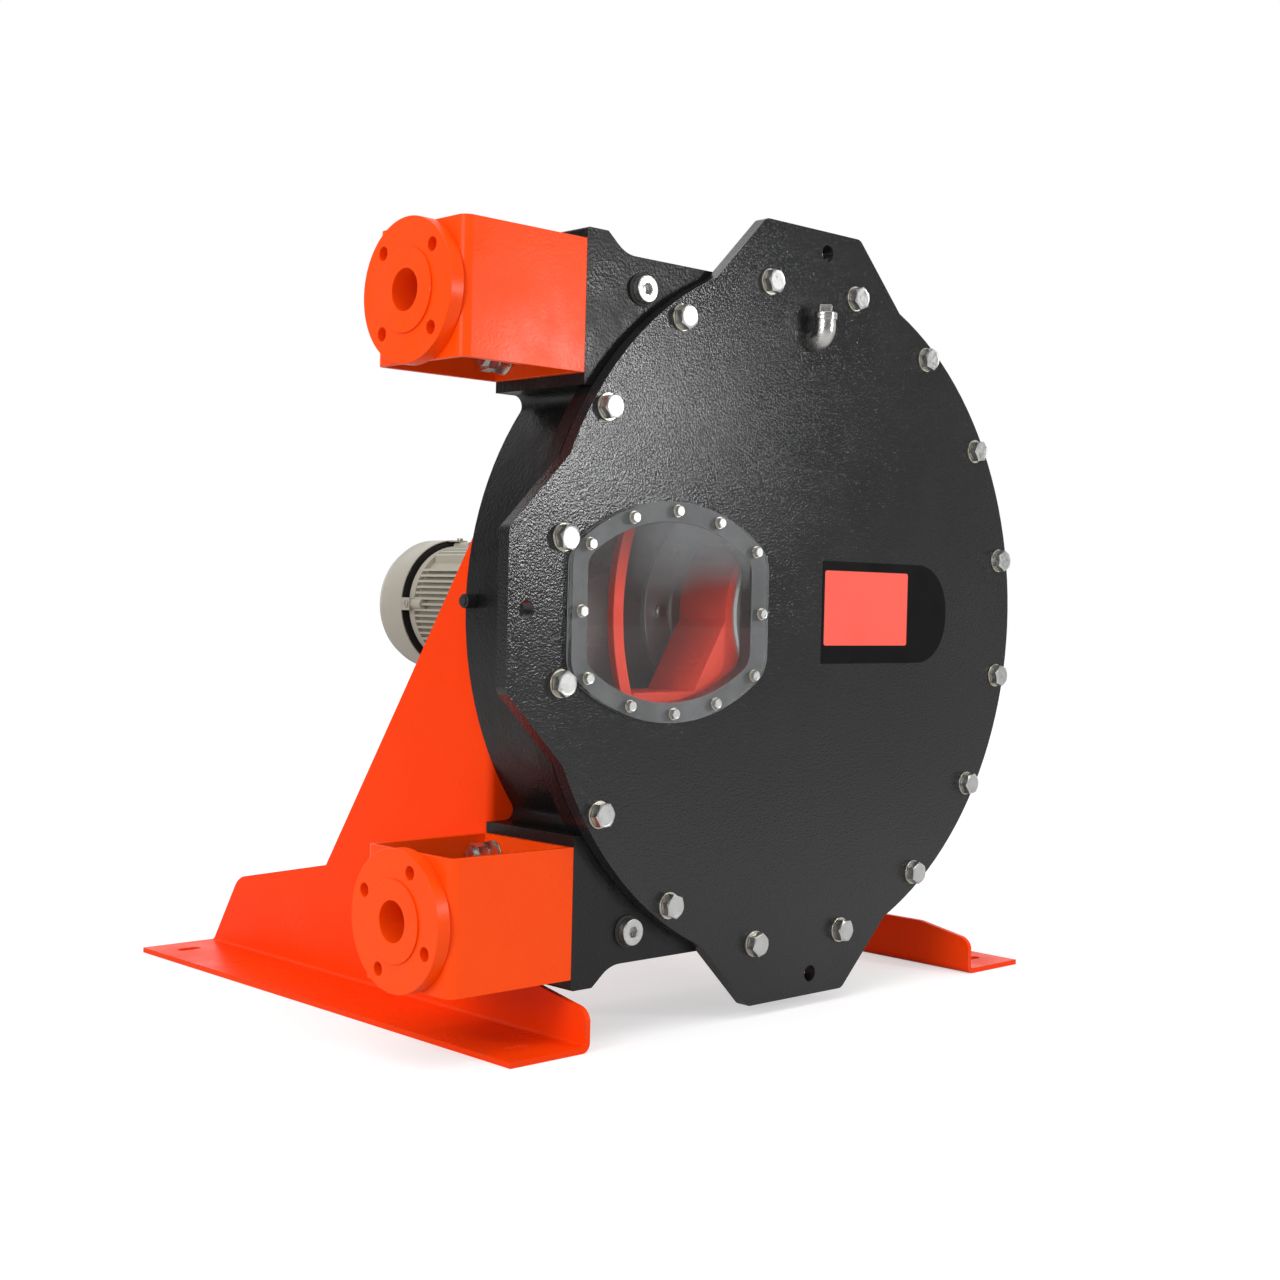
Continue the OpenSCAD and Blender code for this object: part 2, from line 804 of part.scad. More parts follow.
module hose() {
    n = hose_sides;
    m = len(hose_stations);
    outer = [for (s = hose_stations) each hose_ring(s, s[2], wide_of(s[2]))];
    inner = [
        for (s = hose_stations)
            each hose_ring(s, max(lumen_min, s[2] - hose_wall), wide_of(s[2]) - hose_wall)
    ];
    skin = [
        for (i = [0 : m - 2]) for (k = [0 : n - 1])
            let(k2 = (k + 1) % n)
            [i * n + k, i * n + k2, (i + 1) * n + k2, (i + 1) * n + k]
    ];
    lumen = [for (f = skin) [for (j = [3 : -1 : 0]) f[j] + m * n]];
    ends = [
        for (i = [0, m - 1]) for (k = [0 : n - 1])
            let(
                k2 = (k + 1) % n,
                f = [i * n + k, i * n + k + m * n, i * n + k2 + m * n, i * n + k2]
            )
            i == 0 ? f : [for (j = [3 : -1 : 0]) f[j]]
    ];
    color(RUBBER) at_pump() polyhedron(points = concat(outer, inner), faces = concat(skin, lumen, ends));
}

// Blanking plug of the level sensor, on the left of the drum
side_plug_y = back_y - 18;
side_plug_z = 9;
side_plug_d = 20;

module side_plug() {
    color(BLACK) at_pump() translate([0, side_plug_y, side_plug_z]) {
        cross_rod(-drum_r - 0.5, -drum_r + 8, side_plug_d / 2 - 3);
        cross_rod(-drum_r - 18, -drum_r - 0.3, side_plug_d / 2);
        cross_rod(-drum_r - 21, -drum_r - 18, side_plug_d / 2 - 3);
    }
}

// Seal carrier on the chamber's back wall
module seal_carrier() {
    color(STEEL) at_pump() difference() {
        union() {
            rod(carrier_front, floor_y, carrier_r);
            rod(carrier_front - 4, carrier_front, 110);
            rod(floor_y, back_y - 0.5, seal_od / 2 + 39.9);
        }
        rod(carrier_front - 5, back_y, journal_d / 2 + 1.5);
        rod(floor_y + 2, back_y, seal_od / 2 + play);
        ring_of(8, carrier_pcd / 2) rod(carrier_front - 5, floor_y + 1, 6.5);
    }
}

module carrier_bolts() {
    color(ZINC) at_pump() ring_of(8, carrier_pcd / 2) translate([0, carrier_front, 0])
        rotate([-90, 0, 0]) hex_bolt(12, 19, 7.5, 22);
}

module shaft_seal() {
    color(RUBBER) at_pump() difference() {
        rod(floor_y + 2, floor_y + 14, seal_od / 2);
        rod(floor_y + 1, floor_y + 15, journal_d / 2 + play);
    }
}

// Gearbox in three bolted castings
module output_housing() {
    color(GREY) at_pump() difference() {
        union() {
            turned() polygon([
                [0, back_y], [gear_flange_d / 2, back_y], [gear_flange_d / 2, back_y + 20],
                [gear_pcd / 2 - 16, back_y + 20], [casing_r - 32, back_y + 44],
                [casing_r - 38, back_y + 118], [casing_r - 24, casing_a - 16],
                [casing_r, casing_a - 16], [casing_r, casing_a], [0, casing_a]
            ]);
            for (i = [0 : 7]) rotate([0, 45 * i, 0]) output_rib();
        }
        rod(back_y - 1, back_y + 11, journal_d / 2 + 12);
        rod(bearing_a, bearing_b + bearing_w, bearing_od / 2 - 8);
        rod(bearing_a, bearing_a + bearing_w, bearing_od / 2 + play);
        rod(bearing_b, bearing_b + bearing_w, bearing_od / 2 + play);
        rod(bearing_b, bearing_b + bearing_w + 8, journal_d / 2 + 4);
        ring_of(8, gear_pcd / 2, 22.5) rod(back_y - 1, back_y + 30, 9);
        ring_of(12, tie_r, 15) rod(casing_a - 17, casing_a + 1, 6.5);
    }
}

module output_rib() {
    translate([-4, 0, 0]) rotate([90, 0, 90]) linear_extrude(height = 8)
        polygon([
            [back_y + 10, casing_r - 50], [back_y + 10, casing_r + 18], [back_y + 30, casing_r],
            [casing_a - 30, casing_r - 30], [casing_a - 8, casing_r - 26], [casing_a - 8, casing_r - 50]
        ]);
}

module gear_casing() {
    color(GREY) at_pump() difference() {
        union() {
            turned() polygon([
                [0, casing_a], [casing_r, casing_a], [casing_r, casing_a + 14],
                [casing_r - 18, casing_a + 20], [casing_r - 18, casing_b - 20],
                [casing_r, casing_b - 14], [casing_r, casing_b], [0, casing_b]
            ]);
            ring_of(12, tie_r, 15) rod(casing_a, casing_b, 11);
        }
        ring_of(12, tie_r, 15) rod(casing_a - 1, casing_b + 1, 6.5);
    }
}

module motor_adapter() {
    color(GREY) at_pump() difference() {
        turned() polygon([
            [0, casing_b], [casing_r, casing_b], [casing_r, casing_b + 14],
            [casing_r - 24, casing_b + 14],
            [motor_neck, adapter_end - 34], [motor_neck, adapter_end - 14],
            [motor_flange_d / 2, adapter_end - 14],
            [motor_flange_d / 2, adapter_end], [0, adapter_end]
        ]);
        rod(adapter_end - 66, adapter_end + 1, motor_shaft_d / 2 + 8);
        ring_of(12, tie_r, 15) rod(casing_b - 1, casing_b + 21, 6.5);
        ring_of(4, motor_pcd / 2, 45) rod(adapter_end - 15, adapter_end + 1, 6.8);
    }
}

module gearbox_bolts() {
    color(ZINC) at_pump() ring_of(8, gear_pcd / 2, 22.5) translate([0, back_y + 20, 0])
        rotate([90, 0, 0]) hex_bolt(16, 24, 10, 32);
}

module tie_bolts() {
    color(ZINC) at_pump() ring_of(12, tie_r, 15) translate([0, casing_a - 16, 0])
        rotate([-90, 0, 0]) {
            hex_bolt(12, 19, 7.5, casing_b - casing_a + 16 + 14);
            translate([0, 0, casing_b - casing_a + 16 + 14]) cylinder(d = 19 / cos(30), h = 10, $fn = 6);
        }
}

module bearing_ring(y) {
    difference() {
        rod(y, y + bearing_w, bearing_od / 2);
        rod(y - 1, y + bearing_w + 1, journal_d / 2 + play);
        difference() {
            rod(y - 1, y + 3, bearing_od / 2 - 12);
            rod(y - 1, y + 3, journal_d / 2 + 10);
        }
    }
}

module front_bearing() { color(STEEL) at_pump() bearing_ring(bearing_a); }

module rear_bearing() { color(STEEL) at_pump() bearing_ring(bearing_b); }

// Motor: flange, finned frame, stator, rear shield, cowl and terminal box
motor_r = motor_d / 2;
frame_r = motor_r - 11;
boss_ring = cowl_d / 2 - 12.2;
stator_r = 80;
motor_bearing_r = 31;
motor_bearing_w = 16;
core_a = motor_a + (motor_len - core_len) / 2;

module motor_flange() {
    color(GREY) at_pump() difference() {
        turned() polygon([
            [0, adapter_end], [motor_flange_d / 2, adapter_end], [motor_flange_d / 2, adapter_end + 12],
            [motor_neck, adapter_end + 12], [motor_neck, motor_a], [0, motor_a]
        ]);
        rod(adapter_end - 1, motor_a + 1, motor_shaft_d / 2 + 2);
        rod(motor_a - motor_bearing_w, motor_a + 1, motor_bearing_r + play);
        ring_of(4, motor_pcd / 2, 45) rod(adapter_end - 1, adapter_end + 13, 6.8);
    }
}

module motor_bolts() {
    color(ZINC) at_pump() ring_of(4, motor_pcd / 2, 45) translate([0, adapter_end + 12, 0])
        rotate([90, 0, 0]) {
            hex_bolt(12, 19, 7.5, 26);
            translate([0, 0, 26]) cylinder(d = 19 / cos(30), h = 10, $fn = 6);
        }
}

module fin_outline() {
    count = floor(frame_r / sqrt(2) / fin_pitch);
    far = 1.5 * motor_r;
    intersection() {
        circle(r = motor_r);
        for (q = [0 : 3]) rotate(90 * q) intersection() {
            polygon([[0, 0], [far, -far], [far, far]]);
            for (i = [-count : count]) translate([0, i * fin_pitch - fin_t / 2]) square([far, fin_t]);
        }
    }
}

module motor_frame() {
    color(GREY) at_pump() difference() {
        union() {
            rod(motor_a, motor_b, frame_r);
            slab(motor_a + 4, motor_b - 4) fin_outline();
            ring_of(4, boss_ring) rod(motor_b - 26, motor_b, 9);
            translate([frame_r - 12, box_y, -box_w / 2]) cube([motor_r - frame_r + 14, box_l, box_w]);
        }
        rod(motor_a - 1, motor_b + 1, stator_r);
    }
}

module stator() {
    color(STEEL) at_pump() difference() {
        union() {
            rod(core_a, core_a + core_len, stator_r - play);
            rod(motor_a + 6, motor_b - 6, stator_r - 5);
        }
        rod(motor_a, motor_b, core_r);
    }
}

module motor_bearings() {
    color(STEEL) at_pump() for (y = [motor_a - motor_bearing_w, motor_b]) difference() {
        rod(y, y + motor_bearing_w - 4, motor_bearing_r);
        rod(y - 1, y + motor_bearing_w, motor_shaft_d / 2 + play);
    }
}

module rear_shield() {
    color(GREY) at_pump() difference() {
        union() {
            rod(motor_b, motor_b + shield_t, motor_r - 2);
            ring_of(4, boss_ring) rod(motor_b, motor_b + shield_t, 9);
        }
        rod(motor_b - 1, motor_b + motor_bearing_w - 4, motor_bearing_r + play);
        rod(motor_b - 1, motor_b + shield_t + 1, motor_shaft_d / 2 + 2);
        cowl_screw_places() cross_rod(-cowl_d / 2, -cowl_d / 2 + 16, 3 + thread_gap);
    }
}

cowl_wall = 1.8;
cowl_lug = 2.5;
lug_w = 22;
grille_slot = 7;
grille = [18 : 12 : 66];

module cowl_screw_places() {
    for (i = [0 : 3]) rotate([0, 90 * i, 0]) translate([0, motor_b + shield_t / 2, 0]) children();
}

module fan_cowl() {
    r = cowl_d / 2;
    color(GREY) at_pump() difference() {
        union() {
            difference() {
                turned() polygon([
                    [r - cowl_wall, cowl_a], [r, cowl_a], [r, cowl_b - 24], [r - 7, cowl_b - 7],
                    [r - 24, cowl_b], [0, cowl_b], [0, cowl_b - cowl_wall],
                    [r - 24.8, cowl_b - cowl_wall], [r - 8.3, cowl_b - 8.3], [r - cowl_wall, cowl_b - 24.5]
                ]);
                for (g = grille) difference() {
                    rod(cowl_b - 4, cowl_b + 1, g + grille_slot);
                    rod(cowl_b - 5, cowl_b + 2, g);
                }
            }
            for (i = [0 : 3]) rotate([0, 45 * i + 22.5, 0])
                translate([-(r - 30), cowl_b - cowl_wall, -3.5]) cube([2 * (r - 30), cowl_wall, 7]);
            cowl_screw_places() translate([-r + 0.6, -shield_t / 2, -lug_w / 2])
                cube([cowl_lug, shield_t + cowl_gap + 4, lug_w]);
        }
        cowl_screw_places() cross_rod(-r - 1, -r + 5, 3.3);
    }
}

module cowl_screws() {
    r = cowl_d / 2;
    color(ZINC) at_pump() cowl_screw_places() {
        cross_rod(-r - 3.4, -r + 0.6, 5.5);
        cross_rod(-r + 0.6, -r + 15, 3);
    }
}

box_l = 110;
box_w = 96;
box_y = motor_a + 40;
box_x = motor_r + 2;

module terminal_box() {
    color(GREY) at_pump() difference() {
        union() {
            translate([box_x, box_y, -box_w / 2]) cube([44, box_l, box_w]);
            for (z = [-24, 24]) translate([box_x + 24, box_y + box_l, z]) rod(0, 12, 14);
        }
        translate([box_x + 5, box_y + 5, -box_w / 2 + 5]) cube([40, box_l - 10, box_w - 10]);
    }
}

module terminal_lid() {
    color(GREY) at_pump() {
        translate([box_x + 44, box_y - 2, -box_w / 2 - 2]) cube([8, box_l + 4, box_w + 4]);
        for (y = [8, box_l - 8]) {
            for (z = [-1, 1]) translate([box_x + 52, box_y + y, z * (box_w / 2 - 8)])
                cross_rod(0, 3, 4.5);
        }
    }
}

// Rotor: hub, rim and two boxed arms, each with a seat for a shoe
module arm_outline() {
    neck = rim_r - 161;
    flare = rim_r - 103;
    wide = 230;
    polygon([
        [0, -115], [neck, -118], [flare, -218], [rim_r + 40, -wide],
        [rim_r + 40, wide], [flare, 218], [neck, 118], [0, 115]
    ]);
}

module arm_window() {
    half = 115 - arm_wall;
    deep = rim_seat - 34;
    polygon(rounded(
        [[hub_r + 26, -half], [deep, -half], [deep, half], [hub_r + 26, half]],
        [26, 14, 14, 26]
    ));
}

module over_seat() {
    translate([rim_seat, -shoe_half - 40]) square([100, 2 * shoe_half + 80]);
}

module at_shoes() {
    for (a = shoe_angles) rotate([0, -a, 0]) children();
}

shoe_bolt_w = 55;
shoe_bolt_y = 32;
shoe_bolt_d = 16;

module shoe_bolt_places() {
    for (w = [-1, 1]) {
        for (y = [-1, 1]) translate([0, hose_y + y * shoe_bolt_y, w * shoe_bolt_w]) children();
    }
}

module rotor() {
    color(ORANGE) at_pump() difference() {
        union() {
            rod(rotor_y, arm_back, hub_r);
            rod(arm_back, boss_back, boss_r);
            slab(rotor_y, arm_back) intersection() {
                circle(r = hose_r - hose_od / 2 - 3);
                for (a = shoe_angles) rotate(a) difference() {
                    arm_outline();
                    arm_window();
                }
            }
            slab(rotor_y, rim_back) difference() {
                circle(r = rim_r);
                circle(r = rim_r - rim_wall);
            }
            slab(rotor_y, seat_back) for (a = shoe_angles) rotate(a)
                translate([rim_seat - 34, -shoe_half]) square([34, 2 * shoe_half]);
        }
        slab(rotor_y - 1, seat_back + 1) for (a = shoe_angles) rotate(a) over_seat();
        rod(rotor_y - 1, boss_back + 1, shaft_d / 2 + 0.02);
        translate([-key_w / 2 - lap, rotor_y - 1, 0]) cube([key_w + 2 * lap, arm_t + 1, key_top + lap]);
        at_shoes() shoe_bolt_places() cross_rod(rim_seat - 40, rim_seat + 1, shoe_bolt_d / 2 + 0.5);
        ring_of(6, plate_pcd / 2, 30) rod(rotor_y - 1, rotor_y + 34, 6 + thread_gap);
    }
}

module shoe() {
    chamfer = 8;
    y0 = hose_y - shoe_w / 2;
    y1 = hose_y + shoe_w / 2;
    difference() {
        intersection() {
            translate([shoe_off, 0, 0]) turned() polygon([
                [0, y0], [shoe_curve - chamfer, y0], [shoe_curve, y0 + chamfer],
                [shoe_curve, y1 - chamfer], [shoe_curve - chamfer, y1], [0, y1]
            ]);
            translate([shoe_seat, y0 - 1, -shoe_half]) cube([shoe_t + 1, shoe_w + 2, 2 * shoe_half]);
        }
        shoe_bolt_places() cross_rod(shoe_seat - 1, shoe_seat + 29, shoe_bolt_d / 2 + thread_gap);
    }
}

module leading_shoe() { color(STEEL) at_pump() rotate([0, -rotor_angle, 0]) shoe(); }

module trailing_shoe() { color(STEEL) at_pump() rotate([0, 180 - rotor_angle, 0]) shoe(); }

module shoe_shims() {
    color(STEEL) at_pump() at_shoes() difference() {
        translate([rim_seat, hose_y - shoe_w / 2, -shoe_half]) cube([shim_t, shoe_w, 2 * shoe_half]);
        shoe_bolt_places() cross_rod(rim_seat - 1, shoe_seat + 1, shoe_bolt_d / 2 + 1);
    }
}

module shoe_bolts() {
    color(ZINC) at_pump() at_shoes() shoe_bolt_places() translate([rim_seat - 34, 0, 0])
        rotate([0, 90, 0]) hex_bolt(shoe_bolt_d, 24, 10, 34 + shim_t + 26);
}

key_w = 22;
key_top = shaft_d / 2 + 5;
key_low = shaft_d / 2 - 9;
shaft_end = bearing_b + bearing_w + 4;

module rotor_shaft() {
    color(STEEL) at_pump() difference() {
        union() {
            rod(rotor_y, boss_back, shaft_d / 2);
            rod(boss_back, shaft_end, journal_d / 2);
            rod(bearing_a + bearing_w, bearing_b, journal_d / 2 + 7);
        }
        translate([-key_w / 2 - lap, rotor_y - 1, key_low - lap]) cube([key_w + 2 * lap, arm_t + 1, 20]);
        ring_of(3, 24, 30) rod(rotor_y - 1, rotor_y + 40, 6 + thread_gap);
    }
}

module shaft_key() {
    color(STEEL) at_pump() translate([-key_w / 2, rotor_y + 1, key_low])
        cube([key_w, arm_t - 6, key_top - key_low]);
}

plate_r = 128;
plate_t = 7;
plate_pcd = 216;

module retaining_plate() {
    color(STEEL) at_pump() difference() {
        turned() polygon([
            [0, rotor_y - plate_t], [plate_r - 3, rotor_y - plate_t], [plate_r, rotor_y - plate_t + 3],
            [plate_r, rotor_y], [0, rotor_y]
        ]);
        plate_bolt_places() {
            rod(-plate_t - 1, 1, 6.5);
            rod(-plate_t - 1, -plate_t + 5, 10);
        }
    }
}

module plate_bolt_places() {
    translate([0, rotor_y, 0]) {
        ring_of(6, plate_pcd / 2, 30) children();
        ring_of(3, 24, 30) children();
    }
}

module retaining_bolts() {
    color(ZINC) at_pump() plate_bolt_places() difference() {
        union() {
            rod(-plate_t + 0.5, -plate_t + 5, 9);
            rod(-plate_t + 5, 30, 6);
        }
        translate([0, -plate_t - 1, 0]) rotate([-90, 0, 0]) cylinder(d = 8 / cos(30), h = 4, $fn = 6);
    }
}

// Motor shaft with its core and fan
fan_a = motor_b + shield_t + 10;
fan_r = cowl_d / 2 - 17;

module motor_shaft() {
    color(STEEL) at_pump() {
        rod(adapter_end - 60, fan_a + 26, motor_shaft_d / 2);
        rod(motor_a + 4, core_a, motor_shaft_d / 2 + 5);
        rod(core_a + core_len, motor_b - 4, motor_shaft_d / 2 + 5);
    }
}

module motor_core() {
    color(STEEL) at_pump() difference() {
        rod(core_a, core_a + core_len, core_r - 0.6);
        rod(core_a - 1, core_a + core_len + 1, motor_shaft_d / 2 + 0.02);
    }
}

module cooling_fan() {
    color(BLACK) at_pump() difference() {
        union() {
            rod(fan_a, fan_a + 22, 26);
            rod(fan_a, fan_a + 3, fan_r);
            for (i = [0 : 7]) rotate([0, 45 * i, 0])
                translate([24, fan_a + 3, -1.5]) cube([fan_r - 26, 30, 3]);
        }
        rod(fan_a - 1, fan_a + 40, motor_shaft_d / 2 + 0.02);
    }
}

left_frame();
right_frame();
frame_bolts();
frame_washers();
pump_housing();
front_cover();
cover_gasket();
cover_bolts();
cover_washers();
window_pane();
window_gasket();
window_screws();
window_washers();
vent_elbow();
vent_plug();
upper_bracket();
lower_bracket();
bracket_bolts();
bracket_washers();
upper_flange();
lower_flange();
upper_insert();
lower_insert();
hose_clamps();
hose();
port_plugs();
plug_seals();
side_plug();
seal_carrier();
carrier_bolts();
shaft_seal();
output_housing();
gear_casing();
motor_adapter();
gearbox_bolts();
tie_bolts();
front_bearing();
rear_bearing();
motor_flange();
motor_bolts();
motor_frame();
stator();
motor_bearings();
rear_shield();
fan_cowl();
cowl_screws();
terminal_box();
terminal_lid();
rotor();
leading_shoe();
trailing_shoe();
shoe_shims();
shoe_bolts();
rotor_shaft();
shaft_key();
retaining_plate();
retaining_bolts();
motor_shaft();
motor_core();
cooling_fan();
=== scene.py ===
import math
import bmesh
import bpy
from mathutils import Matrix, Vector


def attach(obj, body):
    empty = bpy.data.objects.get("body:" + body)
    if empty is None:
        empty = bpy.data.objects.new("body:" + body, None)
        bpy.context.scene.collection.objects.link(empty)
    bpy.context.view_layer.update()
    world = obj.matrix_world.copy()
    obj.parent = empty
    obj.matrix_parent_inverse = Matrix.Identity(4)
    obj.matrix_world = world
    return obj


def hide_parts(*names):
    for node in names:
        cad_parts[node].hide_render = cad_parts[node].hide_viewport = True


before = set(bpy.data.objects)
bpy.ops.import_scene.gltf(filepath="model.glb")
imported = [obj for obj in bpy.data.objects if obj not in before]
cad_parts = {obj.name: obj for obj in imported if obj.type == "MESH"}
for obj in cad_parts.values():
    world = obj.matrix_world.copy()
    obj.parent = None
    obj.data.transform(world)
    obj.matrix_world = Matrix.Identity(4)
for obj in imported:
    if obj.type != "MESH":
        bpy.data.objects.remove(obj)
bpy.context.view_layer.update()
scene = bpy.context.scene
scene.view_settings.view_transform = "Standard"

# Camera, front left of the pump and a little above its axis. Its eye, turn, tilt and roll are the
# photograph's, solved from the cover's bolt circle, the lobes, the feet and the port flanges.
EYE = Vector((-2.0006, -2.2184, 0.5921))
TURN, TILT, ROLL = (math.radians(a) for a in (43.56284, -1.24441, 1.335256))
LENS_MM, SENSOR_MM, SIGHT_M = 51.117, 36, 100
look = Vector((math.sin(TURN) * math.cos(TILT), math.cos(TURN) * math.cos(TILT), math.sin(TILT)))
level = Vector((math.cos(TURN), -math.sin(TURN), 0))
upright = level.cross(look)
right = math.cos(ROLL) * level + math.sin(ROLL) * upright
up = -math.sin(ROLL) * level + math.cos(ROLL) * upright
lens = bpy.data.cameras.new("Camera")
lens.lens = LENS_MM
lens.sensor_width = SENSOR_MM
lens.clip_end = SIGHT_M
camera = bpy.data.objects.new("Camera", lens)
camera.matrix_world = Matrix.Translation(EYE) @ Matrix((right, up, -look)).transposed().to_4x4()
scene.collection.objects.link(camera)
scene.camera = camera


# Studio: a narrow lamp to the right front, a softbox to the left and one overhead. As metal and paint
# mirror it, the room is bright behind the object, dim in front of it and dark on the left.
def wire(tree, source, target):
    """Links an output to an input, or sets the input where the source is a plain value."""
    if isinstance(source, bpy.types.NodeSocket):
        tree.links.new(source, target)
    else:
        target.default_value = source


def math_node(tree, operation, a, b):
    node = tree.nodes.new("ShaderNodeMath")
    node.operation = operation
    wire(tree, a, node.inputs[0])
    wire(tree, b, node.inputs[1])
    return node.outputs[0]


def vector_node(tree, operation, a, b=None):
    node = tree.nodes.new("ShaderNodeVectorMath")
    node.operation = operation
    wire(tree, a, node.inputs[0])
    if b is not None:
        wire(tree, b, node.inputs[1])
    return node.outputs["Value" if operation in ("LENGTH", "DOT_PRODUCT") else "Vector"]


def spread(tree, value, low, high, to_low=0.0, to_high=1.0):
    """The value laid out from the range low..high onto to_low..to_high, and held there at both ends."""
    node = tree.nodes.new("ShaderNodeMapRange")
    limits = (("From Min", low), ("From Max", high), ("To Min", to_low), ("To Max", to_high))
    for title, number in (("Value", value), *limits):
        wire(tree, number, node.inputs[title])
    return node.outputs["Result"]


def light_path(tree):
    """The light path node, and the share of rays that see a surface directly or through the window."""
    node = tree.nodes.new("ShaderNodeLightPath")
    camera_ray, through_ray = node.outputs["Is Camera Ray"], node.outputs["Is Transmission Ray"]
    return node, math_node(tree, "MAXIMUM", camera_ray, through_ray)


def softbox(name, stand, aim, width, height, power):
    """A rectangular lamp at stand, turned to aim. Sizes are metres and the power is watts."""
    lamp = bpy.data.lights.new(name, "AREA")
    lamp.shape = "RECTANGLE"
    lamp.size = width
    lamp.size_y = height
    lamp.energy = power
    obj = bpy.data.objects.new(name, lamp)
    obj.location = Vector(stand)
    obj.rotation_euler = (Vector(aim) - Vector(stand)).to_track_quat("-Z", "Y").to_euler()
    scene.collection.objects.link(obj)


softbox("Right_lamp", (1.24, -2.64, 1.12), (-0.4, -0.46, 0.75), 0.34, 0.5, 18)
softbox("Left_softbox", (-4.2, -1.2, 1.9), (-0.3, -0.2, 0.6), 1.8, 2.2, 70)
softbox("Top_softbox", (-0.4, -0.8, 3.6), (0, 0, 0.5), 2.6, 2.6, 36)

ROOM_FILL, ROOM_LEFT, ROOM_RIGHT, ROOM_BACK = 0.74, 0.06, 0.27, 1.0
SIDEWAYS, BACK_FROM, BACK_FULL = 0.8, 0.15, 0.6
room = bpy.data.worlds.new("Studio")
room.use_nodes = True
scene.world = room
tree = room.node_tree
tree.nodes.clear()
heading = tree.nodes.new("ShaderNodeTexCoord").outputs["Generated"]
to_right = vector_node(tree, "DOT_PRODUCT", heading, level)
to_back = vector_node(tree, "DOT_PRODUCT", heading, look)
front = spread(tree, to_right, -SIDEWAYS, SIDEWAYS, ROOM_LEFT, ROOM_RIGHT)
mirrored = spread(tree, to_back, BACK_FROM, BACK_FULL, front, ROOM_BACK)
path, seen = light_path(tree)
glossy = math_node(tree, "MULTIPLY", path.outputs["Is Glossy Ray"], mirrored)
strength = math_node(tree, "MAXIMUM", math_node(tree, "MAXIMUM", seen, glossy),
                     math_node(tree, "MULTIPLY", path.outputs["Is Diffuse Ray"], ROOM_FILL))
fill = tree.nodes.new("ShaderNodeBackground")
fill.inputs["Color"].default_value = (1, 1, 1, 1)
wire(tree, strength, fill.inputs["Strength"])
wire(tree, fill.outputs[0], tree.nodes.new("ShaderNodeOutputWorld").inputs["Surface"])

# Studio floor, pale and matt. What the camera sees of it is lifted to white, more so far away where the
# softboxes don't reach, and the shadow of the feet stays.
FLOOR_HALF, FLOOR_TONE, MIRRORED_SHARE = 30, 0.6, 0.1
NEAR, FAR, NEAR_LIFT, FAR_LIFT = 1.5, 7.0, 0.5, 0.66
grid = bmesh.new()
bmesh.ops.create_grid(grid, x_segments=2, y_segments=2, size=FLOOR_HALF)
sheet = bpy.data.meshes.new("Floor")
grid.to_mesh(sheet)
grid.free()
floor = bpy.data.objects.new("Floor", sheet)
scene.collection.objects.link(floor)
paper = bpy.data.materials.new("Studio_floor")
paper.use_nodes = True
tree = paper.node_tree
tree.nodes.clear()
base = tree.nodes.new("ShaderNodeBsdfPrincipled")
base.inputs["Base Color"].default_value = (FLOOR_TONE, FLOOR_TONE, FLOOR_TONE, 1)
base.inputs["Roughness"].default_value = 0.9
base.inputs["Specular IOR Level"].default_value = 0.1
path, seen = light_path(tree)
glossy = math_node(tree, "MULTIPLY", path.outputs["Is Glossy Ray"], MIRRORED_SHARE)
away = vector_node(tree, "LENGTH", tree.nodes.new("ShaderNodeTexCoord").outputs["Object"])
lift = tree.nodes.new("ShaderNodeEmission")
wire(tree, math_node(tree, "MULTIPLY", math_node(tree, "MAXIMUM", seen, glossy),
                     spread(tree, away, NEAR, FAR, NEAR_LIFT, FAR_LIFT)), lift.inputs["Strength"])
both = tree.nodes.new("ShaderNodeAddShader")
wire(tree, base.outputs[0], both.inputs[0])
wire(tree, lift.outputs[0], both.inputs[1])
wire(tree, both.outputs[0], tree.nodes.new("ShaderNodeOutputMaterial").inputs["Surface"])
sheet.materials.append(paper)

# Support frame: two feet, each laser cut from 8 mm plate and pressed to an angle with an upright
# flange, sprayed bright orange. The paint is thick and glossy, and chipped where feet get knocked.
AXIS_Z = 0.577
COVER_Y = -0.463


def place(x, y, z):
    """A point in metres on the frame that stands on the floor, from mm off the pump axis and the cover."""
    return Vector((x / 1000, y / 1000 + COVER_Y, z / 1000 + AXIS_Z))


def node_group(name, inputs, outputs):
    group = bpy.data.node_groups.new(name, "ShaderNodeTree")
    for title, kind, value in inputs:
        made = group.interface.new_socket(name=title, in_out="INPUT", socket_type=kind)
        if value is not None:
            made.default_value = value
    for title, kind in outputs:
        group.interface.new_socket(name=title, in_out="OUTPUT", socket_type=kind)
    return group, group.nodes.new("NodeGroupInput"), group.nodes.new("NodeGroupOutput")


def noise_node(tree, vector, scale, detail=3.0, roughness=0.5):
    node = tree.nodes.new("ShaderNodeTexNoise")
    wire(tree, vector, node.inputs["Vector"])
    wire(tree, scale, node.inputs["Scale"])
    node.inputs["Detail"].default_value = detail
    node.inputs["Roughness"].default_value = roughness
    return node.outputs["Fac"]


def object_point(tree):
    return tree.nodes.new("ShaderNodeTexCoord").outputs["Object"]


def mixed(tree, factor, first, second):
    node = tree.nodes.new("ShaderNodeMix")
    node.data_type = "RGBA"
    wire(tree, factor, node.inputs["Factor"])
    wire(tree, first, node.inputs[6])
    wire(tree, second, node.inputs[7])
    return node.outputs[2]


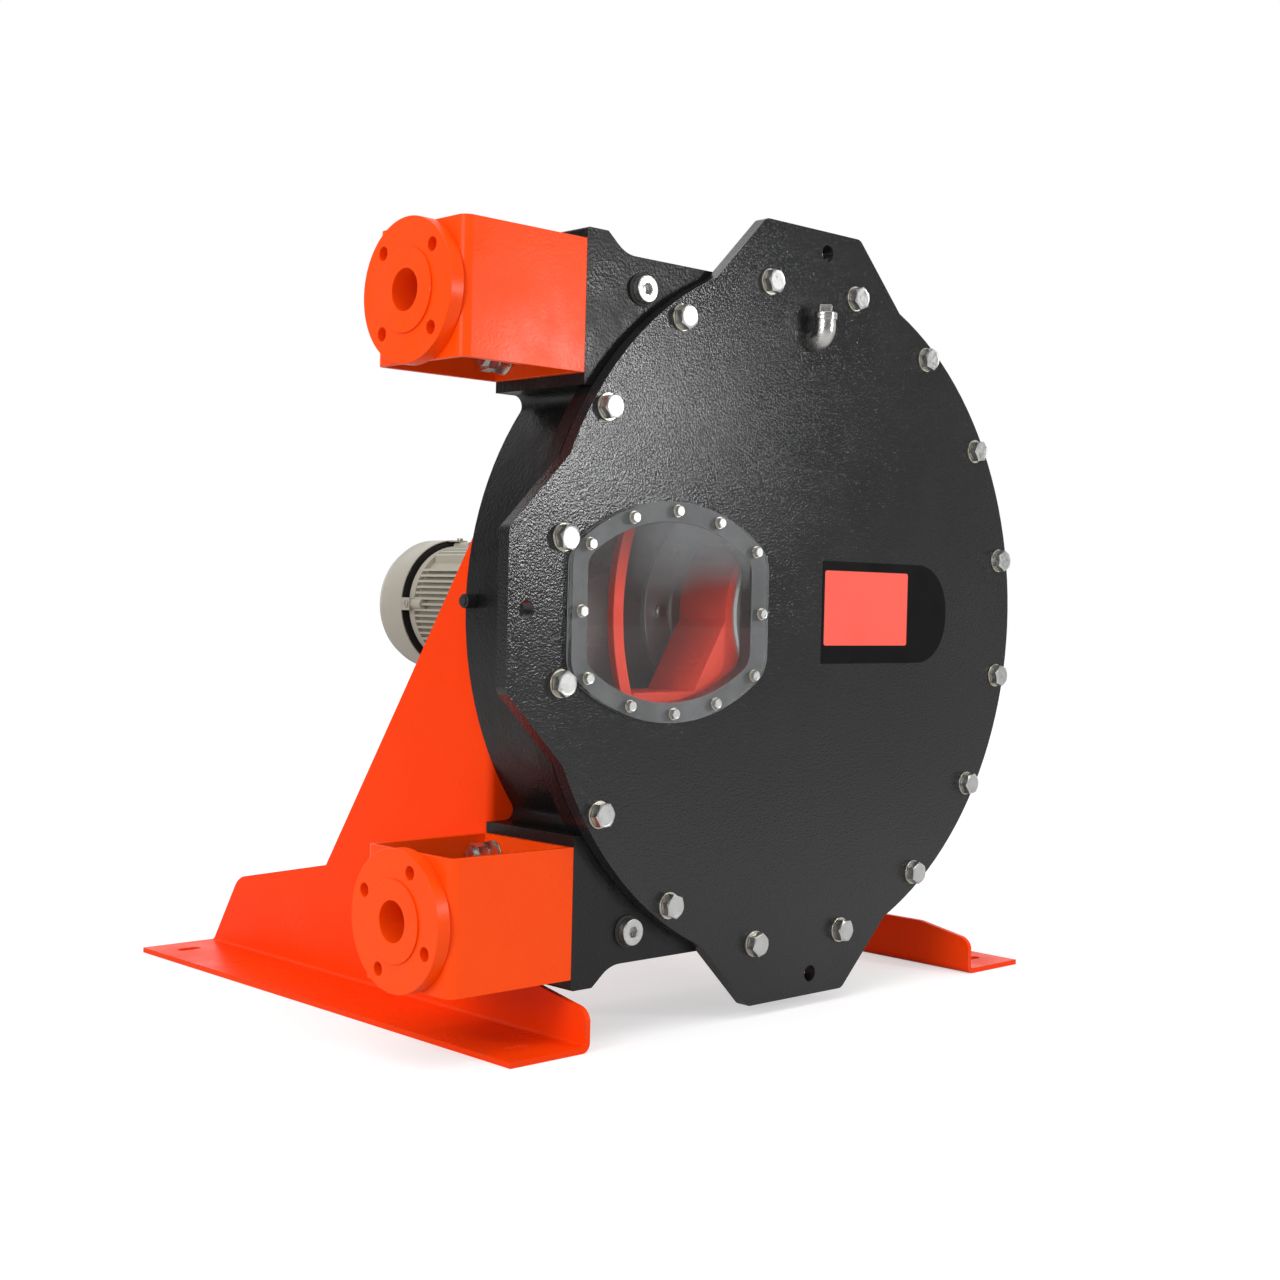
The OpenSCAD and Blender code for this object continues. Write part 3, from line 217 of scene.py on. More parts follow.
# Skin of a coating or casting: fine ripple over slow waves, as a normal
SKIN, entry, leave = node_group(
    "Skin",
    [
        ("Grain", "NodeSocketFloat", 260.0),
        ("Depth", "NodeSocketFloat", 0.3),
        ("Waves", "NodeSocketFloat", 0.4),
    ],
    [("Normal", "NodeSocketVector")],
)
spot = object_point(SKIN)
fine = noise_node(SKIN, spot, entry.outputs["Grain"], 2.0)
slow = noise_node(SKIN, spot, math_node(SKIN, "MULTIPLY", entry.outputs["Grain"], 0.13), 2.0)
height = math_node(SKIN, "ADD", fine, math_node(SKIN, "MULTIPLY", slow, entry.outputs["Waves"]))
bump = SKIN.nodes.new("ShaderNodeBump")
bump.inputs["Distance"].default_value = 0.001
wire(SKIN, entry.outputs["Depth"], bump.inputs["Strength"])
wire(SKIN, height, bump.inputs["Height"])
wire(SKIN, bump.outputs["Normal"], leave.inputs["Normal"])

# Two tones that drift into each other, with a mask of the drift
TONES, entry, leave = node_group(
    "Tones",
    [
        ("First", "NodeSocketColor", (1, 1, 1, 1)),
        ("Second", "NodeSocketColor", (0.5, 0.5, 0.5, 1)),
        ("Scale", "NodeSocketFloat", 6.0),
        ("Contrast", "NodeSocketFloat", 1.0),
    ],
    [("Color", "NodeSocketColor"), ("Mask", "NodeSocketFloat")],
)
drift = noise_node(TONES, object_point(TONES), entry.outputs["Scale"], 5.0, 0.6)
half = math_node(TONES, "DIVIDE", 0.28, entry.outputs["Contrast"])
mask = spread(TONES, drift, math_node(TONES, "SUBTRACT", 0.5, half), math_node(TONES, "ADD", 0.5, half))
wire(TONES, mixed(TONES, mask, entry.outputs["First"], entry.outputs["Second"]), leave.inputs["Color"])
wire(TONES, mask, leave.inputs["Mask"])

# Edges rubbed and chipped: where the rounded normal leaves the true one, broken up by noise
EDGES, entry, leave = node_group(
    "Edges",
    [
        ("Width", "NodeSocketFloat", 0.003),
        ("Breaks", "NodeSocketFloat", 90.0),
        ("Amount", "NodeSocketFloat", 0.5),
    ],
    [("Mask", "NodeSocketFloat")],
)
rounded = EDGES.nodes.new("ShaderNodeBevel")
rounded.samples = 6
wire(EDGES, entry.outputs["Width"], rounded.inputs["Radius"])
flat = EDGES.nodes.new("ShaderNodeNewGeometry").outputs["Normal"]
edge = spread(EDGES, vector_node(EDGES, "DOT_PRODUCT", rounded.outputs["Normal"], flat), 0.995, 0.93)
broken = noise_node(EDGES, object_point(EDGES), entry.outputs["Breaks"], 6.0, 0.65)
threshold = math_node(EDGES, "SUBTRACT", 0.78, math_node(EDGES, "MULTIPLY", entry.outputs["Amount"], 0.4))
chipped = spread(EDGES, broken, threshold, math_node(EDGES, "ADD", threshold, 0.06))
wire(EDGES, math_node(EDGES, "MULTIPLY", edge, chipped), leave.inputs["Mask"])


def placed(tree, group, **values):
    node = tree.nodes.new("ShaderNodeGroup")
    node.node_tree = group
    for title, value in values.items():
        node.inputs[title].default_value = value
    return node


def blank(name, roughness, metallic=0.0, **constants):
    """A new material with its constants on the shader's own sockets; returns it, its tree and the shader."""
    made = bpy.data.materials.new(name)
    made.use_nodes = True
    tree = made.node_tree
    shader = tree.nodes["Principled BSDF"]
    shader.inputs["Roughness"].default_value = roughness
    shader.inputs["Metallic"].default_value = metallic
    for title, value in constants.items():
        shader.inputs[title.replace("_", " ")].default_value = value
    return made, tree, shader


def rgba(colour, share=1.0):
    return (*(share * c for c in colour), 1)


def coated(name, colour, second, roughness, grain, depth, waves=0.4, drift=5.0, chips=0.0,
           under=(0.2, 0.18, 0.16), metallic=0.0, uneven=0.08, **constants):
    """Paint, plating or a bare casting: two tones, a skin, uneven gloss, and chips on the edges."""
    made, tree, shader = blank(name, roughness, metallic, **constants)
    tones = placed(tree, TONES, First=rgba(colour), Second=rgba(second), Scale=drift)
    colour_out = tones.outputs["Color"]
    smear = noise_node(tree, object_point(tree), drift * 2.3, 4.0, 0.6)
    gloss = spread(tree, smear, 0.35, 0.65, roughness - uneven, roughness + uneven)
    if chips:
        worn = placed(tree, EDGES, Amount=chips)
        colour_out = mixed(tree, worn.outputs["Mask"], colour_out, rgba(under))
        gloss = spread(tree, worn.outputs["Mask"], 0.0, 1.0, gloss, min(0.7, roughness + 0.3))
    wire(tree, colour_out, shader.inputs["Base Color"])
    wire(tree, gloss, shader.inputs["Roughness"])
    skin = placed(tree, SKIN, Grain=grain, Depth=depth, Waves=waves)
    wire(tree, skin.outputs["Normal"], shader.inputs["Normal"])
    return made


FRAME_PAINT = coated("Frame_paint", (1.0, 0.056, 0.001), (0.94, 0.047, 0.001), 0.34, 260, 0.16, waves=0.7,
                     chips=0.55, under=(0.16, 0.11, 0.08), Specular_IOR_Level=0.1)
WELD = 1e-5  # metres, joins the loose triangles of a CAD mesh


def finished(name, mesh_maker, material, body, slot_name, *nodes):
    """A piece from its bmesh: the mesh, one material, its body, a slot name that is not used, and the CAD
    pieces it stands for.
    """
    mesh = bpy.data.meshes.new(name)
    mesh_maker.to_mesh(mesh)
    mesh_maker.free()
    obj = bpy.data.objects.new(name, mesh)
    scene.collection.objects.link(obj)
    mesh.materials.append(material)
    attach(obj, body)
    if nodes:
        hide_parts(*nodes)
    return obj


def dressed(node, material, body, slot_name, width=0.0008, steps=2, sharp=32):
    """A machined or cast piece: its loose triangles joined to whole faces, and its edges broken."""
    bm = bmesh.new()
    bm.from_mesh(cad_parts[node].data)
    bmesh.ops.remove_doubles(bm, verts=bm.verts[:], dist=WELD)
    bmesh.ops.dissolve_limit(bm, angle_limit=math.radians(0.5), verts=bm.verts[:], edges=bm.edges[:])
    for face in bm.faces:
        face.smooth = True
    for e in bm.edges:
        e.smooth = e.calc_face_angle(0) < math.radians(sharp)
    obj = finished(node + "_shape", bm, material, body, slot_name, node)
    if width:
        broken = obj.modifiers.new("Broken_edges", "BEVEL")
        broken.width = width
        broken.segments = steps
        broken.limit_method = "ANGLE"
        broken.angle_limit = math.radians(sharp)
        broken.harden_normals = True
        broken.miter_outer = "MITER_ARC"


for side in ("left_frame", "right_frame"):
    dressed(side, FRAME_PAINT, "pump_body", "frame_paint", width=0.0012, steps=3)

# Fasteners: hexagon bolts and flat washers of plated steel. The heads are turned down to 30 degrees
# at the corners, no two stand at the same angle, and the plating is a little yellow on the washers.
PLATED = coated("Plated_steel", (0.74, 0.74, 0.73), (0.58, 0.58, 0.56), 0.36, 900, 0.08, waves=0.2,
                drift=60, metallic=1.0, uneven=0.1)
WASHER_ZINC = coated("Washer_zinc", (0.78, 0.76, 0.68), (0.62, 0.58, 0.46), 0.36, 900, 0.08, waves=0.2,
                     drift=50, metallic=1.0, uneven=0.1)


def shells(node):
    """Lowest and highest corner of each separate solid in a CAD piece."""
    bm = bmesh.new()
    bm.from_mesh(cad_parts[node].data)
    bmesh.ops.remove_doubles(bm, verts=bm.verts[:], dist=WELD)
    unseen = set(bm.verts)
    boxes = []
    for first in bm.verts:
        if first not in unseen:
            continue
        unseen.discard(first)
        group, edge_of = [first], [first]
        while edge_of:
            vert = edge_of.pop()
            for link in vert.link_edges:
                other = link.other_vert(vert)
                if other in unseen:
                    unseen.discard(other)
                    group.append(other)
                    edge_of.append(other)
        boxes.append((Vector(min(v.co[i] for v in group) for i in range(3)),
                      Vector(max(v.co[i] for v in group) for i in range(3))))
    bm.free()
    return boxes


def hexagon_head(across, head, shank_d, shank):
    """A bolt standing head up on z = 0: washer face, six flats, a turned crown, and its shank below.
    Its details are shares of the width across flats and of the head's height."""
    bm = bmesh.new()
    corner, crown, face_h, lap = across / math.sqrt(3), across * 0.47, head * 0.06, 0.0001
    prism = bmesh.ops.create_cone(bm, cap_ends=True, segments=6, radius1=corner, radius2=corner,
                                  depth=head - face_h)
    bmesh.ops.translate(bm, verts=prism["verts"], vec=(0, 0, (head + face_h) / 2))
    top = max(bm.faces, key=lambda f: f.calc_center_median().z)
    bmesh.ops.subdivide_edges(bm, edges=list(top.edges), cuts=4)
    top = max(bm.faces, key=lambda f: f.calc_center_median().z)
    rim = list(top.verts)
    bmesh.ops.inset_individual(bm, faces=[top], thickness=across * 0.02)
    for v in top.verts:
        v.co.xy = v.co.xy.normalized() * crown
        v.co.z = head
    for v in rim:
        v.co.z = head - (v.co.xy.length - crown) * math.tan(math.radians(30))
    bmesh.ops.inset_individual(bm, faces=[top], thickness=across * 0.06, depth=-head * 0.02)
    for radius, low, high in ((crown, 0, face_h + lap), (shank_d / 2, -shank, lap)):
        post = bmesh.ops.create_cone(bm, cap_ends=True, segments=24, radius1=radius, radius2=radius,
                                     depth=high - low)
        bmesh.ops.translate(bm, verts=post["verts"], vec=(0, 0, (high + low) / 2))
    for f in bm.faces:
        f.smooth = len(f.verts) == 4 and abs(f.normal.z) < 0.1 and f.calc_area() < across * head * 0.2
    template = bpy.data.meshes.new("Bolt")
    bm.to_mesh(template)
    bm.free()
    return template


def bolts(node, out, across, head, shank_d):
    """The bolts of a CAD piece with turned heads, sizes in mm, that stand out of the surface along out."""
    out = Vector(out)
    axis = max(range(3), key=lambda i: abs(out[i]))
    bm = bmesh.new()
    for count, (low, high) in enumerate(shells(node)):
        length = high[axis] - low[axis]
        seat = (low + high) / 2
        top = high[axis] if out[axis] > 0 else low[axis]
        seat[axis] = top - out[axis] * head / 1000
        template = hexagon_head(across / 1000, head / 1000, shank_d / 1000, length - head / 1000)
        start = len(bm.verts)
        bm.from_mesh(template)
        bpy.data.meshes.remove(template)
        bm.verts.ensure_lookup_table()
        move = Matrix.Translation(seat) @ out.to_track_quat("Z", "Y").to_matrix().to_4x4()
        move = move @ Matrix.Rotation(math.radians(37 * count % 60), 4, "Z")
        bmesh.ops.transform(bm, matrix=move, verts=bm.verts[start:])
    finished(node + "_shape", bm, PLATED, "pump_body", "zinc", node)


bolts("frame_bolts", (0, 1, 0), 24, 10, 16)
dressed("frame_washers", WASHER_ZINC, "pump_body", "zinc", width=0.0004)

# Pump housing: a drum cast in one piece with its two square port arms, painted black over the rough
# casting skin. The gasket lies on its turned front flange, and a film of lubricant greys the chamber.
HOUSING_BLACK = coated("Housing_black", (0.005, 0.005, 0.005), (0.010, 0.009, 0.009), 0.36, 220, 0.6,
                       waves=1.2, drift=7, uneven=0.1, Specular_IOR_Level=0.36)
CHAMBER_R, CHAMBER_FRONT, CHAMBER_BACK = 0.4525, COVER_Y + 0.0217, -0.268


def axis_reach(tree):
    """How far a point lies from the pump axis, in metres."""
    centred = tree.nodes.new("ShaderNodeMapping")
    centred.inputs["Location"].default_value = (0, 0, -AXIS_Z)
    wire(tree, object_point(tree), centred.inputs["Vector"])
    return vector_node(tree, "LENGTH", vector_node(tree, "MULTIPLY", centred.outputs[0], (1, 0, 1)))


def split_point(tree):
    node = tree.nodes.new("ShaderNodeSeparateXYZ")
    wire(tree, object_point(tree), node.inputs[0])
    return node.outputs


tree = HOUSING_BLACK.node_tree
shader = tree.nodes["Principled BSDF"]
paint = shader.inputs["Base Color"].links[0].from_socket
depth = split_point(tree)["Y"]
between = math_node(tree, "MULTIPLY", math_node(tree, "GREATER_THAN", depth, CHAMBER_FRONT),
                    math_node(tree, "LESS_THAN", depth, CHAMBER_BACK))
inside = math_node(tree, "MULTIPLY", math_node(tree, "LESS_THAN", axis_reach(tree), CHAMBER_R), between)
film_tones = placed(tree, TONES, Scale=9.0, First=rgba((0.21, 0.18, 0.175)),
                    Second=rgba((0.15, 0.125, 0.122)))
wire(tree, mixed(tree, inside, paint, film_tones.outputs["Color"]), shader.inputs["Base Color"])
dressed("pump_housing", HOUSING_BLACK, "pump_body", "housing_paint", width=0.002, steps=3, sharp=25)
GASKET = coated("Gasket_rubber", (0.02, 0.02, 0.02), (0.04, 0.04, 0.038), 0.7, 800, 0.3, drift=30)


def finish_node(node, material):
    """A CAD piece that stays as it is, in its real finish."""
    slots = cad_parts[node].data.materials
    if not slots:
        slots.append(material)
    for index in range(len(slots)):
        slots[index] = material


finish_node("cover_gasket", GASKET)
PLASTIC = coated("Black_plastic", (0.015, 0.015, 0.015), (0.02, 0.02, 0.02), 0.45, 1400, 0.12, drift=20)
dressed("side_plug", PLASTIC, "pump_body", "black_plastic", width=0.0012, steps=3)

# Seal carrier: a turned iron disc bolted to the chamber's back wall. It keeps the rings of the lathe
# tool under a wet film of lubricant, and the lip seal sits behind it.
TURNED, entry, leave = node_group(
    "Turned",
    [("Rings", "NodeSocketFloat", 900.0), ("Depth", "NodeSocketFloat", 0.3)],
    [("Normal", "NodeSocketVector"), ("Mask", "NodeSocketFloat")],
)
grooves = TURNED.nodes.new("ShaderNodeTexNoise")
grooves.noise_dimensions = "1D"
grooves.inputs["Detail"].default_value = 2.0
wire(TURNED, axis_reach(TURNED), grooves.inputs["W"])
wire(TURNED, entry.outputs["Rings"], grooves.inputs["Scale"])
bump = TURNED.nodes.new("ShaderNodeBump")
bump.inputs["Distance"].default_value = 0.0005
wire(TURNED, entry.outputs["Depth"], bump.inputs["Strength"])
wire(TURNED, grooves.outputs["Fac"], bump.inputs["Height"])
wire(TURNED, bump.outputs["Normal"], leave.inputs["Normal"])
wire(TURNED, grooves.outputs["Fac"], leave.inputs["Mask"])


def turned_metal(name, colour, second, roughness, rings, depth, **constants):
    """Metal off the lathe: grooves about the pump axis, in two shades."""
    made, tree, shader = blank(name, roughness, 1.0, **constants)
    lathe = placed(tree, TURNED, Rings=rings, Depth=depth)
    tones = placed(tree, TONES, First=rgba(colour), Second=rgba(second), Scale=14.0)
    darker = mixed(tree, lathe.outputs["Mask"], tones.outputs["Color"], rgba(second, 0.9))
    wire(tree, darker, shader.inputs["Base Color"])
    wire(tree, spread(tree, tones.outputs["Mask"], 0.0, 1.0, roughness - 0.06, roughness + 0.08),
         shader.inputs["Roughness"])
    wire(tree, lathe.outputs["Normal"], shader.inputs["Normal"])
    return made


CARRIER_IRON = turned_metal("Carrier_iron", (0.8, 0.8, 0.81), (0.6, 0.6, 0.605), 0.36, 700, 0.35,
                            Metallic=0.45, Coat_Weight=0.6, Coat_Roughness=0.05)
dressed("seal_carrier", CARRIER_IRON, "pump_body", "carrier_iron", width=0.0015, steps=3)
bolts("carrier_bolts", (0, -1, 0), 19, 7.5, 12)
finish_node("shaft_seal", GASKET)

# Gearbox: three ribbed castings pulled together by tie bolts, in a warm grey enamel, with the two
# roller bearings of the pump shaft inside the first.
GEAR_GREY = coated("Gear_grey", (0.40, 0.375, 0.305), (0.36, 0.335, 0.27), 0.45, 190, 0.4, waves=1.0, drift=6,
                   chips=0.35, under=(0.25, 0.24, 0.22))
BRIGHT_STEEL = turned_metal("Bright_steel", (0.62, 0.62, 0.63), (0.45, 0.45, 0.46), 0.26, 1500, 0.2)
for casting in ("output_housing", "gear_casing", "motor_adapter"):
    dressed(casting, GEAR_GREY, "pump_body", "gear_paint", width=0.0015, steps=3, sharp=28)
for ring in ("front_bearing", "rear_bearing"):
    finish_node(ring, BRIGHT_STEEL)
bolts("gearbox_bolts", (0, 1, 0), 24, 10, 16)
dressed("tie_bolts", PLATED, "pump_body", "zinc", width=0.0008)

# Motor: a die-cast aluminium frame with cooling fins, its flange and rear shield, the pressed sheet
# cowl over the fan, and the terminal box, all in the same grey. A thin black ring at the fan is painted
# shade: it darkens the cowl's inside, so that the backdrop does not show through the grille.
MOTOR_GREY = coated("Motor_grey", (0.42, 0.395, 0.325), (0.37, 0.345, 0.28), 0.42, 320, 0.22, drift=7,
                    chips=0.3, under=(0.5, 0.49, 0.46))
COWL_GREY = coated("Cowl_grey", (0.41, 0.385, 0.32), (0.38, 0.355, 0.29), 0.36, 420, 0.1, drift=5)
STATOR_IRON = coated("Stator_iron", (0.09, 0.085, 0.08), (0.05, 0.045, 0.04), 0.5, 500, 0.3, drift=20,
                     metallic=0.8)
dressed("motor_flange", MOTOR_GREY, "pump_body", "motor_paint", width=0.001)
dressed("motor_bolts", PLATED, "pump_body", "zinc", width=0.0008)
dressed("motor_frame", MOTOR_GREY, "pump_body", "motor_paint", width=0.0006)
finish_node("stator", STATOR_IRON)
finish_node("motor_bearings", BRIGHT_STEEL)
dressed("rear_shield", MOTOR_GREY, "pump_body", "motor_paint", width=0.001)
dressed("fan_cowl", COWL_GREY, "pump_body", "cowl_paint", width=0.0005, sharp=40)
dressed("cowl_screws", PLATED, "pump_body", "zinc", width=0.0008)
dressed("terminal_box", MOTOR_GREY, "pump_body", "motor_paint", width=0.002, steps=3)
dressed("terminal_lid", MOTOR_GREY, "pump_body", "motor_paint", width=0.0015, steps=3)
finish_node("motor_shaft", BRIGHT_STEEL)
finish_node("motor_core", STATOR_IRON)
finish_node("cooling_fan", PLASTIC)
# Painted shade inside the cowl: a thin black ring at the fan, spun from this section
SHADE_RING = ((97, 374), (111, 374), (111, 376), (97, 376))  # mm from the axis, and along it
bm = bmesh.new()
corners = [bm.verts.new((radius / 1000, along / 1000, AXIS_Z)) for radius, along in SHADE_RING]
sides = [bm.edges.new((corners[i - 1], corners[i])) for i in range(4)]
bmesh.ops.spin(bm, geom=corners + sides, cent=(0, 0, AXIS_Z), axis=(0, 1, 0), angle=math.tau, steps=96,
               use_merge=True, use_duplicate=False)
bmesh.ops.recalc_face_normals(bm, faces=bm.faces[:])
finished("cowl_shade_ring", bm, PLASTIC, "motor_body", "black_plastic")

# Rotor: a cast wheel on the pump shaft, with a hub, a rim and two boxed arms that carry the pressing
# shoes on shims. It is painted, runs in lubricant, and looks wet and a little washed out.
ROTOR_RED = coated("Rotor_paint", (1.0, 0.055, 0.012), (0.84, 0.035, 0.008), 0.5, 120, 0.3, waves=1.2,
                   drift=9, Specular_IOR_Level=0.25, Coat_Weight=0.12, Coat_Roughness=0.15)
SHOE_METAL = coated("Shoe_metal", (0.5, 0.5, 0.5), (0.4, 0.4, 0.4), 0.3, 500, 0.1, drift=12, metallic=1.0)
dressed("rotor", ROTOR_RED, "rotor_body", "rotor_paint", width=0.0025, steps=3)
for shoe in ("leading_shoe", "trailing_shoe"):
    dressed(shoe, SHOE_METAL, "rotor_body", "shoe_metal", width=0.002, steps=3)
finish_node("shoe_shims", BRIGHT_STEEL)
finish_node("shoe_bolts", PLATED)
finish_node("rotor_shaft", BRIGHT_STEEL)
finish_node("shaft_key", BRIGHT_STEEL)
PLATE_STEEL = turned_metal("Plate_steel", (0.6, 0.6, 0.61), (0.4, 0.4, 0.405), 0.3, 500, 0.3,
                           Metallic=0.45, Coat_Weight=0.7, Coat_Roughness=0.05)
dressed("retaining_plate", PLATE_STEEL, "rotor_body", "plate_steel", width=0.001)
dressed("retaining_bolts", PLATE_STEEL, "rotor_body", "plate_steel", width=0.0006)

# Hose: a U of thick rubber reinforced with cord, clamped on its inserts. Where a shoe presses it,
# the tube is flat, and it swells back behind the shoe.
HOSE_RUBBER = coated("Hose_rubber", (0.016, 0.016, 0.017), (0.03, 0.03, 0.031), 0.55, 420, 0.6, waves=1.0,
                     drift=16, uneven=0.1)
bm = bmesh.new()
bm.from_mesh(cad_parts["hose"].data)
bmesh.ops.remove_doubles(bm, verts=bm.verts[:], dist=WELD)
for face in bm.faces:
    face.smooth = True
hose = finished("hose_shape", bm, HOSE_RUBBER, "pump_body", "hose_rubber", "hose")
smoother = hose.modifiers.new("Round", "SUBSURF")
smoother.levels = 1
smoother.render_levels = 1
finish_node("hose_clamps", BRIGHT_STEEL)

# Front cover: a 20 mm steel plate with three lifting lobes, in thick black enamel with orange peel.
# Sixteen bolts hold it through the housing flange.
COVER_BLACK = coated("Cover_black", (0.011, 0.011, 0.012), (0.016, 0.016, 0.017), 0.15, 330, 0.6,
                     waves=0.12, drift=4, uneven=0.03)
dressed("front_cover", COVER_BLACK, "pump_body", "cover_paint", width=0.0015, steps=3)
bolts("cover_bolts", (0, -1, 0), 30, 13, 20)
dressed("cover_washers", WASHER_ZINC, "pump_body", "zinc", width=0.0006)

# Window: a barrel-shaped pane of clear acrylic on a grey seal, held by twelve small bolts. The pane's
# rim shows the seal under it. A grey sheet on its inside stands partly for a mist of lubricant and partly
# for painted light: it is thicker towards the top and the hub side, a painted haze that lightens the chamber
# there.
SEAL_GREY = coated("Seal_grey", (0.11, 0.11, 0.112), (0.24, 0.24, 0.242), 0.5, 700, 0.3, drift=12)
dressed("window_gasket", SEAL_GREY, "pump_body", "window_seal", width=0.0003)
ACRYLIC, tree, shader = blank("Acrylic", 0.03, Transmission_Weight=1.0, IOR=1.49,
                              Specular_Tint=rgba((0.5, 0.5, 0.5)))
tones = placed(tree, TONES, First=rgba((0.95, 0.95, 0.955)), Second=rgba((0.98, 0.98, 0.985)), Scale=9.0)
wire(tree, tones.outputs["Color"], shader.inputs["Base Color"])
wire(tree, spread(tree, tones.outputs["Mask"], 0.0, 1.0, 0.005, 0.015), shader.inputs["Roughness"])
path = tree.nodes.new("ShaderNodeLightPath")
through = tree.nodes.new("ShaderNodeBsdfTransparent")
through.inputs["Color"].default_value = rgba((0.93, 0.94, 0.94))
clear = tree.nodes.new("ShaderNodeMixShader")
unlit = math_node(tree, "MAXIMUM", path.outputs["Is Shadow Ray"], path.outputs["Is Diffuse Ray"])
wire(tree, unlit, clear.inputs[0])
wire(tree, shader.outputs[0], clear.inputs[1])
wire(tree, through.outputs[0], clear.inputs[2])
wire(tree, clear.outputs[0], tree.nodes["Material Output"].inputs["Surface"])
dressed("window_pane", ACRYLIC, "pump_body", "window_glass", width=0.0012, steps=3)
# The sheet of mist and painted haze in mm off the pump axis and the cover, then where it is thin and thick in
# metres
WINDOW_X, ARC_R, ARC_Z, HALF_W, HAZE_MIST_LOW, HAZE_MIST_Y, HAZE_MIST_THICK = -276, 256.5, -134.5, 149.5, 14, -1.9, 0.2
HAZE_MIST_SHARE, HAZE_MIST_FROM, HAZE_MIST_FULL, THIN_X, THICK_X, THIN_SHARE = 0.7, 0.63, 0.705, -0.36, -0.27, 0.15
# Painted haze: a mid grey sheet that covers more towards the top and the hub side, partly lubricant mist
HAZE_AND_MIST, tree, shader = blank("Lubricant_mist_and_painted_haze", 0.6, Base_Color=rgba((0.16, 0.16, 0.165)))
point = split_point(tree)
drops = math_node(tree, "MULTIPLY", noise_node(tree, object_point(tree), 7, 3.0), 0.05)
rise = spread(tree, math_node(tree, "ADD", point["Z"], drops), HAZE_MIST_FROM, HAZE_MIST_FULL, 0.0, HAZE_MIST_SHARE)
toward_hub = spread(tree, point["X"], THIN_X, THICK_X, THIN_SHARE, 1.0)
wire(tree, math_node(tree, "MULTIPLY", rise, toward_hub), shader.inputs["Alpha"])


def thickened(bm, thick):
    """Gives a flat sheet that faces the front its thickness in mm, towards the back."""
    back = bmesh.ops.extrude_face_region(bm, geom=bm.faces[:])
    moved = [g for g in back["geom"] if isinstance(g, bmesh.types.BMVert)]
    bmesh.ops.translate(bm, verts=moved, vec=(0, thick / 1000, 0))
    bmesh.ops.recalc_face_normals(bm, faces=bm.faces[:])


bm = bmesh.new()
bmesh.ops.create_circle(bm, cap_ends=True, segments=160, radius=ARC_R / 1000)
bmesh.ops.rotate(bm, verts=bm.verts[:], matrix=Matrix.Rotation(math.radians(90), 3, "X"))
bmesh.ops.translate(bm, verts=bm.verts[:], vec=place(WINDOW_X, HAZE_MIST_Y, ARC_Z))
for cut, outward in (((-HALF_W, 0), (-1, 0, 0)), ((HALF_W, 0), (1, 0, 0)), ((0, HAZE_MIST_LOW), (0, 0, -1))):
    bmesh.ops.bisect_plane(bm, geom=bm.verts[:] + bm.edges[:] + bm.faces[:], clear_outer=True,
                           plane_no=outward, plane_co=place(WINDOW_X + cut[0], 0, cut[1]))
thickened(bm, HAZE_MIST_THICK)
finished("window_mist_and_painted_haze", bm, HAZE_AND_MIST, "pump_body", "window_glass")
bolts("window_screws", (0, -1, 0), 13, 5.5, 8)
dressed("window_washers", WASHER_ZINC, "pump_body", "zinc", width=0.0003)

# Vent: a nickel-plated malleable iron elbow, screwed into the cover, and its square-headed plug.
NICKEL = coated("Nickel_plating", (0.66, 0.65, 0.63), (0.48, 0.47, 0.45), 0.3, 420, 0.3, waves=0.8, drift=45,
                metallic=1.0, uneven=0.1)
dressed("vent_elbow", NICKEL, "pump_body", "bright_steel", width=0.0012, steps=3, sharp=40)
dressed("vent_plug", NICKEL, "pump_body", "bright_steel", width=0.0012, steps=3)

# Label: a plain black film stuck on the right of the cover, square on the left and round on the right,
# with a blank coral field printed on it.
LABEL_BLACK = coated("Label_black", (0.002, 0.002, 0.002), (0.004, 0.004, 0.004), 0.4, 900, 0.05, drift=8,
                     Specular_IOR_Level=0.1)
LABEL_CORAL = coated("Label_coral", (1.0, 0.125, 0.085), (0.97, 0.11, 0.075), 0.4, 900, 0.05, drift=8,
                     Specular_IOR_Level=0.3)


